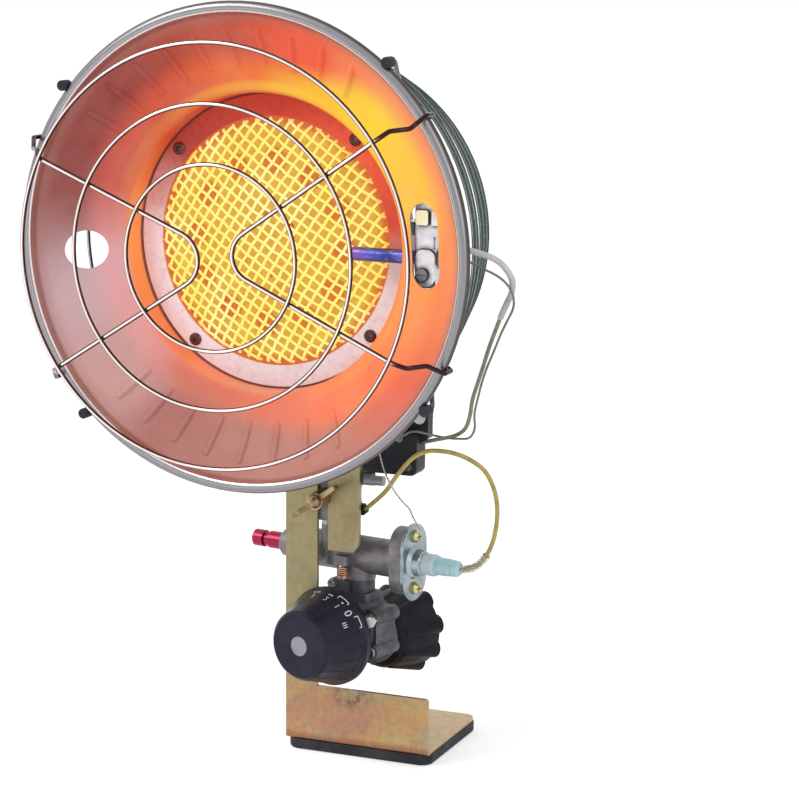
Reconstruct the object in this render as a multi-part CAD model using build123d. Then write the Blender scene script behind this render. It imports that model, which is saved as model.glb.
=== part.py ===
from build123d import *
from math import sin, cos, tan, radians, hypot, pi
import os

# Tank-top propane heater, millimetres, +Z up.  Everything is laid out with the
# reflector's rim plane at y = 0 (the bowl looks towards -Y, depth runs to +Y) and is
# then shifted so the origin sits at the tank inlet, in the mouth of the coupling nut.

# ---- head -------------------------------------------------------------------
RIM_R = 108.0            # outer radius of the rolled rim
RIM_ROLL = 2.8           # radius of the roll
SHEET = 0.9              # reflector sheet
BOWL_SAG = 1.4           # how far the bowl's wall curves off a straight cone
NOSE = 3.7               # radius where the bowl turns into the recess
THROAT_R = 67.0          # inside radius of the burner recess
THROAT_Y = 28.0          # depth at which the recess wall starts
SEAT_Y = 40.1            # front face of the recess's inturned flange
ROLL = 5.0               # the guards and rivets sit this many degrees round
SEAT_R = THROAT_R - 8.5           # inner edge of the recess's flange
RING_R = THROAT_R - 0.9           # burner flange ring
RING_IN = RING_R - 9.7
RING_T = 1.2
RIVET_PCR = THROAT_R - 5.3
MESH_R, MESH_RISE = RING_IN + 1.0, 10.3    # woven dome, rise towards the front
SCREEN_R = RING_IN - 1.2
CAN_R, CAN_Y = SEAT_R, 66.0       # burner can behind the bowl

# ---- guards -----------------------------------------------------------------
RINGS = {"guard_ring_outer": RIM_R - 16.4, "guard_ring_middle": RIM_R - 42.2, "guard_ring_inner": RIM_R - 67.8}
LEG_TURN = RIM_R - 15.0           # radius where the guard's legs turn back to the rim
RING_WIRE, LEG_WIRE = 0.95, 1.05
LEG_Y = -24.0
RING_Y = LEG_Y - (RING_WIRE + LEG_WIRE - 0.2)      # the rings lie on the legs, nested a little
HOOK_Y = 2 * RIM_ROLL + LEG_WIRE + 0.35            # depth at which a leg's end grips behind the roll
LEG_WAVE = ((0.28, -0.9), (0.62, 2.0))             # kinks in each leg's end: share of its run, and sideways
REAR = ((95.5, 40.0), (91.5, 54.5), (88.0, 69.0), (84.0, 83.5), (80.0, 98.0))
REAR_WIRE, SPOKE_WIRE = 0.85, 1.1
WELD = 0.02                       # gap left at each welded crossing of wires
CLIP_ANGLES, CLIP_R = (50, 141, 225.5, 324.5), 2.35

# ---- riser, bracket ---------------------------------------------------------
RISER_Y, RISER_R, RISER_WALL = 115.0, 9.5, 1.2
RISER_END = -146.0
BEND = 24.0
BR_Y, BR_T = 97.5, 2.0            # bracket sheet: front face and thickness
SLOT_X, SLOT_W = -2.05, 5.5
BR_LEFT, BR_RIGHT = -21.4, 17.1   # outer edges of the two legs
BR_TOP, SLOT_TOP, LEG_END = -107.5, -116.0, -156.0
WALL_TOP, WALL_RIGHT = -224.4, 53.2
FOOT_Z, FOOT_END = -252.8, 163.0  # underside of the foot, its far edge
PAD_T = 5.4
WING_Z, WING_R = -130.3, 2.55

# ---- valve, turned about the riser; regulator, turned about its own neck ---------
VALVE_YAW, REG_YAW = 9.0, 14.5
BARREL_Z, BARREL_R = -160.2, 9.0
NECK_X = 11.0                     # neck of the regulator, along the barrel
BUTTON_TRAVEL = 6.0
KNOB_X, KNOB_Z = 1.0, -195.8
KNOB_BACK, KNOB_FRONT, KNOB_R = -23.6, -48.0, 24.0
INLET_Z = -204.0
INLET_Y = 37.5                    # mouth of the coupling nut
THREAD_R, THREAD_Y = 16.65, 24.8  # its 1-5/16 in thread, drawn as a plain bore, and where that starts


VALVE = Location((0, RISER_Y, 0)) * Location((0, 0, 0), (0, 0, -VALVE_YAW))
REG = VALVE * Location((NECK_X, 0, 0)) * Location((0, 0, 0), (0, 0, VALVE_YAW - REG_YAW))
INLET = (REG * Location((KNOB_X, INLET_Y, INLET_Z))).position
ORIGIN = Location((-INLET.X, -INLET.Y, -INLET.Z))


def cyl(r, p, q, r2=None):
    """Round bar or cone from p to q."""
    p, q = Vector(*p), Vector(*q)
    pl = Plane(origin=p, z_dir=(q - p).normalized())
    h = (q - p).length
    if r2 is None:
        return pl * Cylinder(r, h, align=(Align.CENTER, Align.CENTER, Align.MIN))
    return pl * Cone(r, r2, h, align=(Align.CENTER, Align.CENTER, Align.MIN))


def box(x0, x1, y0, y1, z0, z1):
    return Pos((x0 + x1) / 2, (y0 + y1) / 2, (z0 + z1) / 2) * Box(x1 - x0, y1 - y0, z1 - z0)


def ring(radius, y, wire):
    return Pos(0, y, 0) * Rot(90, 0, 0) * Torus(radius, wire)


def lathe_y(points):
    """Revolve a closed (radius, y) outline about the Y axis."""
    line = Polyline(*[(r, y, 0) for r, y in points], close=True)
    return revolve(make_face(line), axis=Axis.Y)


def lathe_x(points):
    """Revolve a closed (x, radius) outline about the X axis."""
    line = Polyline(*[(x, r, 0) for x, r in points], close=True)
    return revolve(make_face(line), axis=Axis.X)


def polar(angle, r, y=0.0, roll=ROLL):
    a = radians(angle + roll)
    return (r * cos(a), y, r * sin(a))


def bent_path(points, radii=None):
    """Straight runs joined by tangent arcs, each as wide as its runs allow."""
    v = [Vector(*p) for p in points]
    out = []
    for i in range(1, len(v) - 1):
        a, b = v[i] - v[i - 1], v[i + 1] - v[i]
        turn = radians(a.get_angle(b))
        out.append(0.45 * min(a.length, b.length) / tan(turn / 2))
    if radii:
        out = [min(r, k) for r, k in zip(out, radii)]
    return FilletPolyline(*[tuple(p) for p in v], radius=out), out


def wire(points, r, radii=None):
    path, _ = bent_path(points, radii)
    return sweep(Plane(origin=path @ 0, z_dir=path % 0) * Circle(r), path=path)


def cord(name, points, r):
    """Flexible lead: a round tube along its real route."""
    path, radii = bent_path(points)
    print(name, "radius", r, "length", round(path.length, 1), "tightest bend", round(min(radii), 1))
    solid = sweep(Plane(origin=path @ 0, z_dir=path % 0) * Circle(r), path=path)
    print("   volume ratio", round(solid.volume / (pi * r * r * path.length), 4))
    return solid


# ---- reflector and burner -----------------------------------------------------
def bowl_edge():
    """Front ends of the bowl's wall: on the roll, and where the nose radius starts."""
    c = RIM_R - RIM_ROLL
    a = (c + RIM_ROLL * cos(radians(163)), RIM_ROLL + RIM_ROLL * sin(radians(163)))
    n = (0.546, 0.838)
    b = (THROAT_R + NOSE - NOSE * n[0], THROAT_Y - NOSE * n[1])
    return a, b, n


def bowl_y(r):
    """Depth of the sheet's middle at radius r."""
    a, b, n = bowl_edge()
    f = (a[0] - r) / (a[0] - b[0])
    return a[1] + f * (b[1] - a[1]) + (4 * f * (1 - f) * BOWL_SAG + SHEET / 2) / n[1]


def reflector():
    (ax, ay), (bx, by), n = bowl_edge()
    c, t = RIM_R - RIM_ROLL, THROAT_R
    back = (c + RIM_ROLL * cos(radians(143)), RIM_ROLL + RIM_ROLL * sin(radians(143)))
    mid = ((ax + bx) / 2 + BOWL_SAG * n[0], (ay + by) / 2 + BOWL_SAG * n[1])
    mid_back = (mid[0] + SHEET * n[0], mid[1] + SHEET * n[1])
    k = NOSE - SHEET
    h = (cos(radians(28.3)), sin(radians(28.3)))
    outline = [
        ThreePointArc((*back, 0), (RIM_R, RIM_ROLL, 0), (ax, ay, 0)),
        ThreePointArc((ax, ay, 0), (*mid, 0), (bx, by, 0)),
        ThreePointArc((bx, by, 0), (t + NOSE - NOSE * h[0], THROAT_Y - NOSE * h[1], 0), (t, THROAT_Y, 0)),
        Polyline((t, THROAT_Y, 0), (t, SEAT_Y, 0), (SEAT_R, SEAT_Y, 0), (SEAT_R, SEAT_Y + SHEET, 0),
                 (t + SHEET, SEAT_Y + SHEET, 0), (t + SHEET, THROAT_Y, 0)),
        ThreePointArc((t + SHEET, THROAT_Y, 0), (t + NOSE - k * h[0], THROAT_Y - k * h[1], 0),
                      (t + NOSE - k * n[0], THROAT_Y - k * n[1], 0)),
        ThreePointArc((t + NOSE - k * n[0], THROAT_Y - k * n[1], 0), (*mid_back, 0), (*back, 0)),
    ]
    edges = [e for part in outline for e in part.edges()]
    body = revolve(make_face(edges), axis=Axis.Y)
    # pressed stiffening beads on the bowl, along the top and the bottom
    p, q = (80.5, bowl_y(80.5), 0), (95.5, bowl_y(95.5), 0)
    bead = cyl(1.5, p, q) + Pos(*p) * Sphere(1.5) + Pos(*q) * Sphere(1.5)
    for a in [58 + 9.5 * i for i in range(10)] + [228 + 10 * i for i in range(8)]:
        body += Rot(0, -a, 0) * bead
    # round peep hole on the left, long hole for the thermocouple on the right
    body -= cyl(8.7, (-THROAT_R - 16.6, 0, -6), (-THROAT_R - 16.6, 36, -6))
    slot = Rot(90, 0, 0) * extrude(SlotOverall(37, 16.6, rotation=90), amount=30, both=True)
    body -= Rot(0, -3.5, 0) * Pos(THROAT_R + 14.6, 0, 0) * slot
    # way through the recess wall for the thermocouple
    body -= cyl(4.0, (THROAT_R - 8, TC_Y, TC_Z), (THROAT_R + 5.8, TC_Y, TC_Z))
    for a in (45, 135, 225, 315):
        p = polar(a, RIVET_PCR)
        body -= cyl(1.95, (p[0], SEAT_Y - 2, p[2]), (p[0], SEAT_Y + 3, p[2]))
    return body


def burner_ring():
    y = SEAT_Y - RING_T - 0.02
    body = lathe_y([(RING_IN, y), (RING_R, y), (RING_R, y + RING_T), (RING_IN, y + RING_T)])
    for a in (45, 135, 225, 315):
        p = polar(a, RIVET_PCR)
        body -= cyl(1.95, (p[0], y - 2, p[2]), (p[0], y + 4, p[2]))
    return body


def burner_rivets():
    """Four eyelets holding ring, bowl and can together."""
    front, back = SEAT_Y - RING_T - 0.04, SEAT_Y + SHEET + 0.02 + 1.0 + 0.02
    out = []
    for a in (45, 135, 225, 315):
        p = polar(a, RIVET_PCR)
        eye = lathe_y([(1.1, front - 1.1), (2.2, front - 1.1), (2.9, front - 0.5), (2.9, front),
                       (1.85, front), (1.85, back), (2.8, back), (2.8, back + 0.7), (1.1, back + 0.7)])
        out.append(Pos(p[0], 0, p[2]) * eye)
    return Compound(children=out)


def dome(radius, y_edge, rise, thick):
    """Spherical cap, its middle towards the front."""
    s = (radius ** 2 + rise ** 2) / (2 * rise)
    yc = y_edge - rise + s
    cap = Pos(0, yc, 0) * (Sphere(s) - Sphere(s - thick))
    return cap & cyl(radius, (0, y_edge - rise - 1, 0), (0, y_edge, 0))


def burner_mesh():
    """Coarse diamond screen, cut from one domed sheet, with a flat clamped edge."""
    y = SEAT_Y + 0.02 - RING_T - 0.06
    body = dome(MESH_R - 1.2, y, MESH_RISE, 0.9)
    pitch, hole = 4.9, 3.5
    cuts = []
    n = int(2 * MESH_R / pitch) + 2
    for i in range(-n, n + 1):
        for j in range(-n, n + 1):
            u, v = i * pitch, j * pitch
            x, z = (u - v) * 0.7071, (u + v) * 0.7071
            if hypot(x, z) < MESH_R - 4.6:
                cuts.append(Pos(x, y - 6, z) * Rot(0, 45, 0) * Box(hole, 16, hole))
    body -= cuts
    return body


def burner_screen():
    """Inner perforated dome; twelve clusters of holes in a circle."""
    y = SEAT_Y + SHEET
    body = dome(SCREEN_R, y, 9.5, 0.8)
    body += lathe_y([(SCREEN_R - 0.6, y - 0.86), (SEAT_R - 0.1, y - 0.86), (SEAT_R - 0.1, y), (SCREEN_R - 0.6, y)])
    cuts = []
    for k in range(12):
        cx, _, cz = polar(30 * k - 8, SCREEN_R - 18.7)
        for i in range(7):
            a = 2 * pi * i / 6
            d = 0 if i == 6 else 4.0
            cuts.append(cyl(1.35, (cx + d * cos(a), y - 14, cz + d * sin(a)),
                            (cx + d * cos(a), y + 3, cz + d * sin(a))))
    for k in range(6):
        cx, _, cz = polar(60 * k + 30, 14.0)
        cuts.append(cyl(1.6, (cx, y - 14, cz), (cx, y + 3, cz)))
    body -= cuts
    return body


def burner_plenum():
    y0 = SEAT_Y + SHEET + 0.02
    t = 1.0
    body = lathe_y([(CAN_R - t, y0), (RING_R, y0), (RING_R, y0 + t), (CAN_R, y0 + t), (CAN_R, CAN_Y - 5),
                    (CAN_R - 5, CAN_Y), (RISER_R + 0.05, CAN_Y), (RISER_R + 0.05, CAN_Y - t),
                    (CAN_R - 5.4, CAN_Y - t), (CAN_R - t, CAN_Y - 5.4)])
    for a in (45, 135, 225, 315):
        p = polar(a, RIVET_PCR)
        body -= cyl(1.95, (p[0], y0 - 2, p[2]), (p[0], y0 + 1.6, p[2]))
    return body


def mixing_tube():
    """Gas and air tube: out of the can, round an elbow, down to the valve."""
    path = FilletPolyline((0, CAN_Y - 4, 0), (0, RISER_Y, 0), (0, RISER_Y, RISER_END + 0.05), radius=BEND)
    start = Plane(origin=path @ 0, z_dir=path % 0)
    body = sweep(start * Circle(RISER_R), path=path) - sweep(start * Circle(RISER_R - RISER_WALL), path=path)
    # collar brazed against the can
    body += lathe_y([(RISER_R - 0.1, CAN_Y + 0.02), (15, CAN_Y + 0.02), (15, CAN_Y + 1.4), (11, CAN_Y + 3.4),
                     (RISER_R - 0.1, CAN_Y + 3.4)])
    # air windows either side, above the clamp
    for s in (-1, 1):
        win = Rot(0, 90, 0) * extrude(SlotOverall(12, 7), amount=6)
        body -= Pos(6 * s, RISER_Y, -116) * Rot(0, 0, 0 if s > 0 else 180) * win
    return body


# ---- guards --------------------------------------------------------------------
def guard_ring(radius):
    """One ring of the front guard, nested on the legs it is welded to."""
    body = ring(radius, RING_Y, RING_WIRE)
    for leg in guard_leg_wires(LEG_WIRE + WELD):
        body -= leg
    return body


def guard_leg_wires(thickness):
    """Two bent vee wires whose ends hook over the rim."""
    out = []
    tilt = Rot(0, -ROLL, 0)
    for side, half, tip, bend in ((-1, 27.8, 7.6, 12.3), (1, 29.6, -1.65, 11.3)):
        def leg(radius, up):
            # point at the given radius on the sloping leg of the vee
            m = tan(radians(half))
            x = tip * 1.0
            a, b, c = 1 + m * m, -2 * m * m * x, m * m * x * x - radius * radius
            root = (-b + side * (b * b - 4 * a * c) ** 0.5) / (2 * a)
            return root, up * abs(root - x) * m
        pts, rad = [], []
        for up in (1, -1):
            px, pz = leg(LEG_TURN, up)
            ox, oz = leg(RIM_R + LEG_WIRE + 0.1, up)
            hx, hz = leg(RIM_R - 5.0, up)
            run = [(hx, HOOK_Y, hz), (ox, HOOK_Y, oz), (ox, -1.6, oz)]
            size = hypot(ox, oz)
            for share, aside in reversed(LEG_WAVE):
                shift = aside * up * side
                run.append((px + (ox - px) * share + shift * oz / size, LEG_Y + (-1.6 - LEG_Y) * share,
                            pz + (oz - pz) * share - shift * ox / size))
            run.append((px, LEG_Y, pz))
            pts += run if up > 0 else [(tip, LEG_Y, 0)] + run[::-1]
        rad = [2.0, 2.0, 4.0, 4.0, 6.0, bend, 6.0, 4.0, 4.0, 2.0, 2.0]
        out.append(tilt * wire(pts, thickness, rad))
    return out


def guard_legs():
    return Compound(children=guard_leg_wires(LEG_WIRE))


def rear_rings():
    """Five rings of the basket behind the bowl."""
    return Compound(children=[ring(r, y, REAR_WIRE) for r, y in REAR])


def rear_spokes():
    """Four spokes that carry the basket's rings, each notched where a ring is welded to it."""
    out = []
    off = REAR_WIRE + SPOKE_WIRE - 0.35
    (r0, y0), (r1, y1) = REAR[0], REAR[-1]
    k = (r0 - r1) / (y1 - y0)
    for a in CLIP_ANGLES:
        p0 = polar(a, r1 - off - 2.0 * k, y1 + 2.0, 0)
        p1 = polar(a, r0 - off + 2.0 * k, y0 - 2.0, 0)
        p2 = polar(a, RIM_R + SPOKE_WIRE + 0.5, 9.0, 0)
        p3 = polar(a, RIM_R + SPOKE_WIRE + 0.5, 0.8, 0)
        spoke = wire([p0, p1, p2, p3], SPOKE_WIRE, [12, 12])
        for r, y in REAR:
            spoke -= ring(r, y, REAR_WIRE + WELD)
        out.append(spoke)
    return Compound(children=out)


def rim_clips():
    """Black sleeves pinching the spokes to the roll."""
    out = []
    for a in CLIP_ANGLES:
        c = polar(a, RIM_R + SPOKE_WIRE + 0.5, 3.0, 0)
        tube = cyl(CLIP_R, (0, -0.6, 0), (0, 4.8, 0)) - cyl(SPOKE_WIRE + 0.03, (0, 0.75, 0), (0, 8, 0))
        tube = Pos(c[0], 0, c[2]) * tube
        tube -= ring(RIM_R - RIM_ROLL, RIM_ROLL, RIM_ROLL + 0.03)
        tube -= cyl(RIM_R - RIM_ROLL, (0, -8, 0), (0, 14, 0))
        out.append(max(tube.solids(), key=lambda s: s.volume))
    return Compound(children=out)


# ---- thermocouple ----------------------------------------------------------------
TC_Y, TC_Z = THROAT_Y + 2.8, -2.0
PLATE_X = THROAT_R + 6.6             # near edge of the bracket's plate
TC_SCREW = (PLATE_X + 4.0, -8.5)     # (x, z)


def thermocouple_probe():
    tip, shoulder = THROAT_R - 24.0, PLATE_X + 6.9
    body = cyl(3.1, (tip, TC_Y, TC_Z), (shoulder, TC_Y, TC_Z))
    body += Pos(tip, TC_Y, TC_Z) * Sphere(3.1)
    body += cyl(1.6, (shoulder - 0.1, TC_Y, TC_Z), (shoulder + 5.9, TC_Y, TC_Z))
    return body


def thermocouple_bracket():
    """Folded plate behind the long hole: face plate, cheek round the probe, foot on the recess."""
    t = 1.2
    y0 = THROAT_Y - 2.1
    x0, xs, out = PLATE_X, TC_SCREW[0], RIM_R - 8
    face = box(x0, x0 + 12.4, y0, y0 + t, -14.5, 23.5)
    face -= cyl(1.7, (xs, y0 - 6, TC_SCREW[1]), (xs, y0 + 16, TC_SCREW[1]))
    face -= box(x0 + 9.6, x0 + 16.4, y0 - 6, y0 + 16, -20.0, 2.8) + box(x0 + 8.6, x0 + 11.2, y0 - 6, y0 + 16, 2.7, 8.0)
    tabs = box(x0 + 0.6, x0 + 6.4, y0 - 1.2, y0 + 0.1, 13.0, 19.5)
    tabs = fillet(tabs.edges().filter_by(Axis.Y), 1.0) + box(x0 + 8.0, x0 + 12.4, y0 - 1.2, y0 + 0.1, 13.0, 19.5)
    low = box(x0 + 0.6, x0 + 9.6, y0 - 1.2, y0 + 0.1, -13.6, 2.4)
    low = fillet(low.edges().filter_by(Axis.Y), 3.4)
    low -= cyl(1.7, (xs, y0 - 6, TC_SCREW[1]), (xs, y0 + 16, TC_SCREW[1]))
    cheek = box(x0 + 7.6, x0 + 7.6 + t, y0 + 0.5, y0 + 12.1, -12.0, 9.5)
    cheek -= cyl(1.75, (x0 + 4, TC_Y, TC_Z), (x0 + 17, TC_Y, TC_Z))
    xf = THROAT_R + 1.0
    foot = box(xf, xf + 1.2, y0 + 2.3, y0 + 13.1, 8.0, 14.0)
    foot += box(xf, x0 + 0.8, y0 + 1.1, y0 + 2.4, 8.0, 14.0)
    foot += box(x0, x0 + 1.2, y0 + 0.1, y0 + 2.4, 8.0, 14.0)
    wall = THROAT_R + SHEET + 0.03
    keep = lathe_y([(wall, y0 + 34), (wall, y0 + 1.1), (x0 - 1.0, y0 - 0.9),
                    (x0 + 1.4, bowl_y(x0 + 1.4) + 0.6), (out, bowl_y(out) + 0.6), (out, y0 + 34)])
    return max(((face + tabs + low + cheek + foot) & keep).solids(), key=lambda s: s.volume)


def thermocouple_screw():
    """Pan head screw with a nut behind the plate."""
    (x, z), y = TC_SCREW, THROAT_Y - 3.34
    body = cyl(2.7, (x, y - 1.5, z), (x, y, z)) + cyl(1.65, (x, y - 0.05, z), (x, y + 5.6, z))
    body -= box(x - 2.2, x + 2.2, y - 1.6, y - 0.7, z - 0.4, z + 0.4)
    nut = Plane(origin=(x, y + 2.48, z), z_dir=(0, 1, 0)) * extrude(RegularPolygon(3.0, 6), amount=2.2)
    return body + nut


# ---- tip-over switch ----------------------------------------------------------------
SW = dict(x0=24.2, x1=51.6, y0=84.0, y1=95.0, z0=-112.6, z1=-92.0)
WALL = 1.6
SW_CORNER = 3.2
SW_SCREWS = ((28.6, -95.9), (47.0, -108.2))
SW_TERMS = ((32.6, -98.6), (43.4, -94.7))
SW_BOLT = (51.5, -85.2)
LEAD_IN = (90.8, -97.4)      # (y, z) of the lead's way into the case


def switch_case():
    s = SW
    yc = s["y0"] + 3.0
    body = box(s["x0"], s["x1"], yc, s["y1"], s["z0"], s["z1"])
    body = fillet(body.edges().filter_by(Axis.Y), SW_CORNER)
    ear = box(40.0, 55.3, 89.0, s["y1"], s["z1"] - 4, -80.2)
    ear = fillet(ear.edges().filter_by(Axis.Y), 2.0)
    body += ear
    body -= box(s["x0"] + WALL, s["x1"] - WALL, yc - 1, s["y1"] - WALL, s["z0"] + WALL, s["z1"] - WALL)
    # rolling cup for the ball
    cup = box(s["x0"] + WALL - 0.1, s["x1"] - WALL + 0.1, yc + 0.3, s["y1"] - WALL + 0.1,
              s["z0"] + WALL - 0.1, s["z0"] + 5)
    cup -= Pos(39.6, yc + 3.4, s["z0"] + 3.2) * Cone(0.4, 3.0, 3.0, align=(Align.CENTER, Align.CENTER, Align.MIN))
    body += cup
    body -= cyl(1.6, (SW_BOLT[0], 84, SW_BOLT[1]), (SW_BOLT[0], 110, SW_BOLT[1]))
    for x, z in SW_SCREWS:
        body -= cyl(1.0, (x, yc - 1, z), (x, yc + 4.2, z))
    body -= cyl(1.25, (s["x1"] - WALL - 1, LEAD_IN[0], LEAD_IN[1]), (60, LEAD_IN[0], LEAD_IN[1]))
    return body


def switch_cover():
    s = SW
    yc = s["y0"] + 2.95
    body = box(s["x0"], s["x1"], s["y0"], yc, s["z0"], s["z1"])
    body = fillet(body.edges().filter_by(Axis.Y), SW_CORNER)
    body = fillet(body.faces().sort_by(Axis.Y)[0].edges(), 0.8)
    for x, z in SW_SCREWS:
        body -= cyl(1.3, (x, s["y0"] - 1, z), (x, yc + 1, z))
        body -= cyl(2.3, (x, s["y0"] - 1, z), (x, s["y0"] + 1.5, z))
    for x, z in SW_TERMS:
        body -= cyl(1.05, (x, s["y0"] - 1, z), (x, yc + 1, z))
    return body


def switch_screws():
    out = []
    for x, z in SW_SCREWS:
        y = SW["y0"] + 1.48
        b = cyl(2.1, (x, y - 1.5, z), (x, y, z)) + cyl(0.95, (x, y - 0.1, z), (x, y + 4.8, z))
        b -= box(x - 1.6, x + 1.6, y - 1.7, y - 0.9, z - 0.35, z + 0.35)
        b -= box(x - 0.35, x + 0.35, y - 1.7, y - 0.9, z - 1.6, z + 1.6)
        out.append(b)
    return Compound(children=out)


def switch_terminals():
    """Two small posts on the cover that take the bare wires."""
    out = []
    for x, z in SW_TERMS:
        y = SW["y0"]
        out.append(cyl(1.0, (x, y - 0.1, z), (x, y + 3.4, z)) + cyl(1.9, (x, y - 1.5, z), (x, y - 0.03, z)))
    return Compound(children=out)


def switch_bracket():
    """Joggled arm from the clamp to the back of the switch, with a tongue for the lead."""
    y0, y1, f0 = 105.04, 106.4, SW["y1"] + 0.04
    plate = box(21.6, SW["x1"] - 0.4, f0, f0 + 1.36, -109.0, -86.0)
    body = fillet(plate.edges().filter_by(Axis.Y), 3.0)
    body += fillet(box(40.0, 54.6, f0, f0 + 1.36, -95.0, -81.0).edges().filter_by(Axis.Y), 3.0)
    body += box(20.6, 25.0, f0, f0 + 1.36, -106.0, -92.0)
    body += box(20.6, 21.96, f0, y1, -106.0, -92.0)
    body += box(9.6, 21.96, y0, y1, -124.0, -92.0)
    body += box(7.2, 11.4, y0, y1, -124.0, -98.0)
    body += box(7.3, 8.6, y0, y0 + 9.0, -124.0, -98.0)
    body -= cyl(RISER_R + 0.03, (0, RISER_Y, -130), (0, RISER_Y, -90))
    body -= cyl(1.6, (SW_BOLT[0], 90, SW_BOLT[1]), (SW_BOLT[0], 110, SW_BOLT[1]))
    body += box(10.4, 14.8, y0, y1, -133.5, -123.5)
    return body


def switch_bolt():
    x, z = SW_BOLT
    yn = SW["y1"] + 1.44
    body = cyl(1.55, (x, 88.0, z), (x, yn + 3.2, z)) + cyl(3.0, (x, 87.2, z), (x, 88.96, z))
    nut = Plane(origin=(x, yn, z), z_dir=(0, 1, 0)) * extrude(RegularPolygon(3.1, 6), amount=2.2)
    return body + nut


def spacer_pin():
    """Rubber-sleeved stop pin under the switch, riveted to the arm."""
    body = cyl(2.35, (18.6, 101.2, -120.3), (28.2, 101.2, -120.3))
    body += box(17.8, 21.4, 100.4, 105.02, -122.6, -118.0)
    return body


def clamp_lug():
    """Threaded pad brazed to the riser, behind the bracket's slot."""
    y0 = BR_Y + BR_T + 0.05
    body = box(SLOT_X - 7.5, SLOT_X + 7.5, y0, RISER_Y - 4, -142.0, -119.5)
    body -= cyl(RISER_R + 0.02, (0, RISER_Y, -150), (0, RISER_Y, -110))
    body -= cyl(WING_R + 0.05, (SLOT_X, y0 - 1, WING_Z), (SLOT_X, RISER_Y, WING_Z))
    return max(body.solids(), key=lambda s: s.volume)


# ---- valve body and what it carries (x along the barrel) --------------------------------
FLANGE_X = 40.4          # face of the barrel's oval flange
SCREW_DZ = 12.75
BUTTON_OUT = -50.4       # tip of the safety button
BUSH_OUT = -32.8         # outer end of its collar
BUTTON_IN = -22.0        # inner end of its shank


def oval(length, width, x, thick, z=0.0):
    """Upright obround plate across the barrel's axis."""
    plate = extrude(Rot(0, 0, 90) * SlotOverall(length, width), amount=thick)
    return Pos(x, 0, z) * Rot(0, 90, 0) * Rot(0, 0, 90) * plate


def valve_body():
    z = BARREL_Z
    body = cyl(BARREL_R, (-25.0, 0, z), (34.0, 0, z))
    body += oval(33.4, 19.5, FLANGE_X - 7.2, 7.2, z)
    # upright boss under the riser, with the spigot that fits inside it
    body += cyl(RISER_R, (0, 0, z - 5), (0, 0, RISER_END))
    body += cyl(RISER_R - RISER_WALL - 0.04, (0, 0, RISER_END - 1), (0, 0, -137.0))
    # socket down to the regulator, and the bleed screw's lug
    body += cyl(7.8, (NECK_X, 0, z - 3), (NECK_X, 0, -172.0))
    body += box(4.6, 11.4, -13.2, -2.0, -163.8, z + 1.0)
    body -= cyl(6.2, (-40, 0, z), (FLANGE_X - 9.0, 0, z))
    body -= cyl(7.4, (FLANGE_X - 9.1, 0, z), (FLANGE_X + 2, 0, z))
    body -= cyl(3.2, (0, 0, z), (0, 0, -130))
    body -= cyl(4.6, (NECK_X, 0, -180), (NECK_X, 0, z))
    body -= cyl(1.9, (8.0, -11.0, -170), (8.0, -11.0, -160.6))
    for s in (-1, 1):
        body -= cyl(1.35, (FLANGE_X - 6.6, 0, z + s * SCREW_DZ), (FLANGE_X + 3, 0, z + s * SCREW_DZ))
    return body


def orifice_nozzle():
    z0 = -136.96
    body = Plane(origin=(0, 0, z0)) * extrude(RegularPolygon(6.2, 6), amount=4.5)
    body += cyl(4.2, (0, 0, z0 + 4.4), (0, 0, z0 + 9.5), 1.8) + cyl(3.1, (0, 0, z0 - 7), (0, 0, z0 + 0.1))
    body -= cyl(1.6, (0, 0, z0 - 8), (0, 0, z0 + 7)) + cyl(0.45, (0, 0, z0 + 6), (0, 0, z0 + 12))
    return body


def valve_flange():
    """Zinc plate with a raised neck, held by two screws."""
    z = BARREL_Z
    x = FLANGE_X + 0.04
    body = oval(37.6, 21.5, x, 1.6, z)
    body += Pos(0, 0, z) * lathe_x([(x + 1.5, 0), (x + 1.5, 8.4), (x + 3.2, 6.6), (x + 6.6, 6.2), (x + 7.4, 5.6),
                                   (x + 7.4, 0)])
    body -= cyl(4.7, (x - 1, 0, z), (x + 12, 0, z))
    for s in (-1, 1):
        body -= cyl(1.55, (x - 2, 0, z + s * SCREW_DZ), (x + 3, 0, z + s * SCREW_DZ))
    return body


def flange_screws():
    out = []
    x = FLANGE_X + 1.68
    for s in (-1, 1):
        z = BARREL_Z + s * SCREW_DZ
        b = cyl(3.0, (x, 0, z), (x + 1.2, 0, z)) + cyl(3.0, (x + 1.2, 0, z), (x + 2.3, 0, z), 2.2)
        b += cyl(1.3, (x - 7.4, 0, z), (x + 0.1, 0, z))
        b -= box(x + 1.1, x + 3, -2.0, 2.0, z - 0.4, z + 0.4) + box(x + 1.1, x + 3, -0.4, 0.4, z - 2.0, z + 2.0)
        out.append(b)
    return Compound(children=out)


def magnet_unit():
    """Flame-failure magnet inside the barrel, its tail reaching the connector."""
    z, x = BARREL_Z, FLANGE_X
    body = cyl(6.1, (10.0, 0, z), (x - 9.2, 0, z)) + cyl(7.3, (x - 9.04, 0, z), (x - 0.1, 0, z))
    body += cyl(4.4, (x - 0.2, 0, z), (x + 5.4, 0, z)) + cyl(6.1, (x - 9.3, 0, z), (x - 9.0, 0, z))
    body += cyl(2.0, (BUTTON_TRAVEL - 0.4, 0, z), (10.1, 0, z))
    return body


SHELL = 7.0              # length of the connector's shell, outside the flange's neck


def connector_shell():
    x0, z = FLANGE_X + 7.5, BARREL_Z
    body = Pos(0, 0, z) * lathe_x([(x0 - 1.9, 0), (x0 - 1.9, 4.6), (x0, 4.6), (x0, 5.2), (x0 + SHELL - 1.6, 5.4),
                                   (x0 + SHELL, 4.8), (x0 + SHELL, 0)])
    return body - cyl(2.2, (x0 + 3, 0, z), (x0 + 12, 0, z))


BOOT_X = FLANGE_X + 7.55 + SHELL


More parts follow.
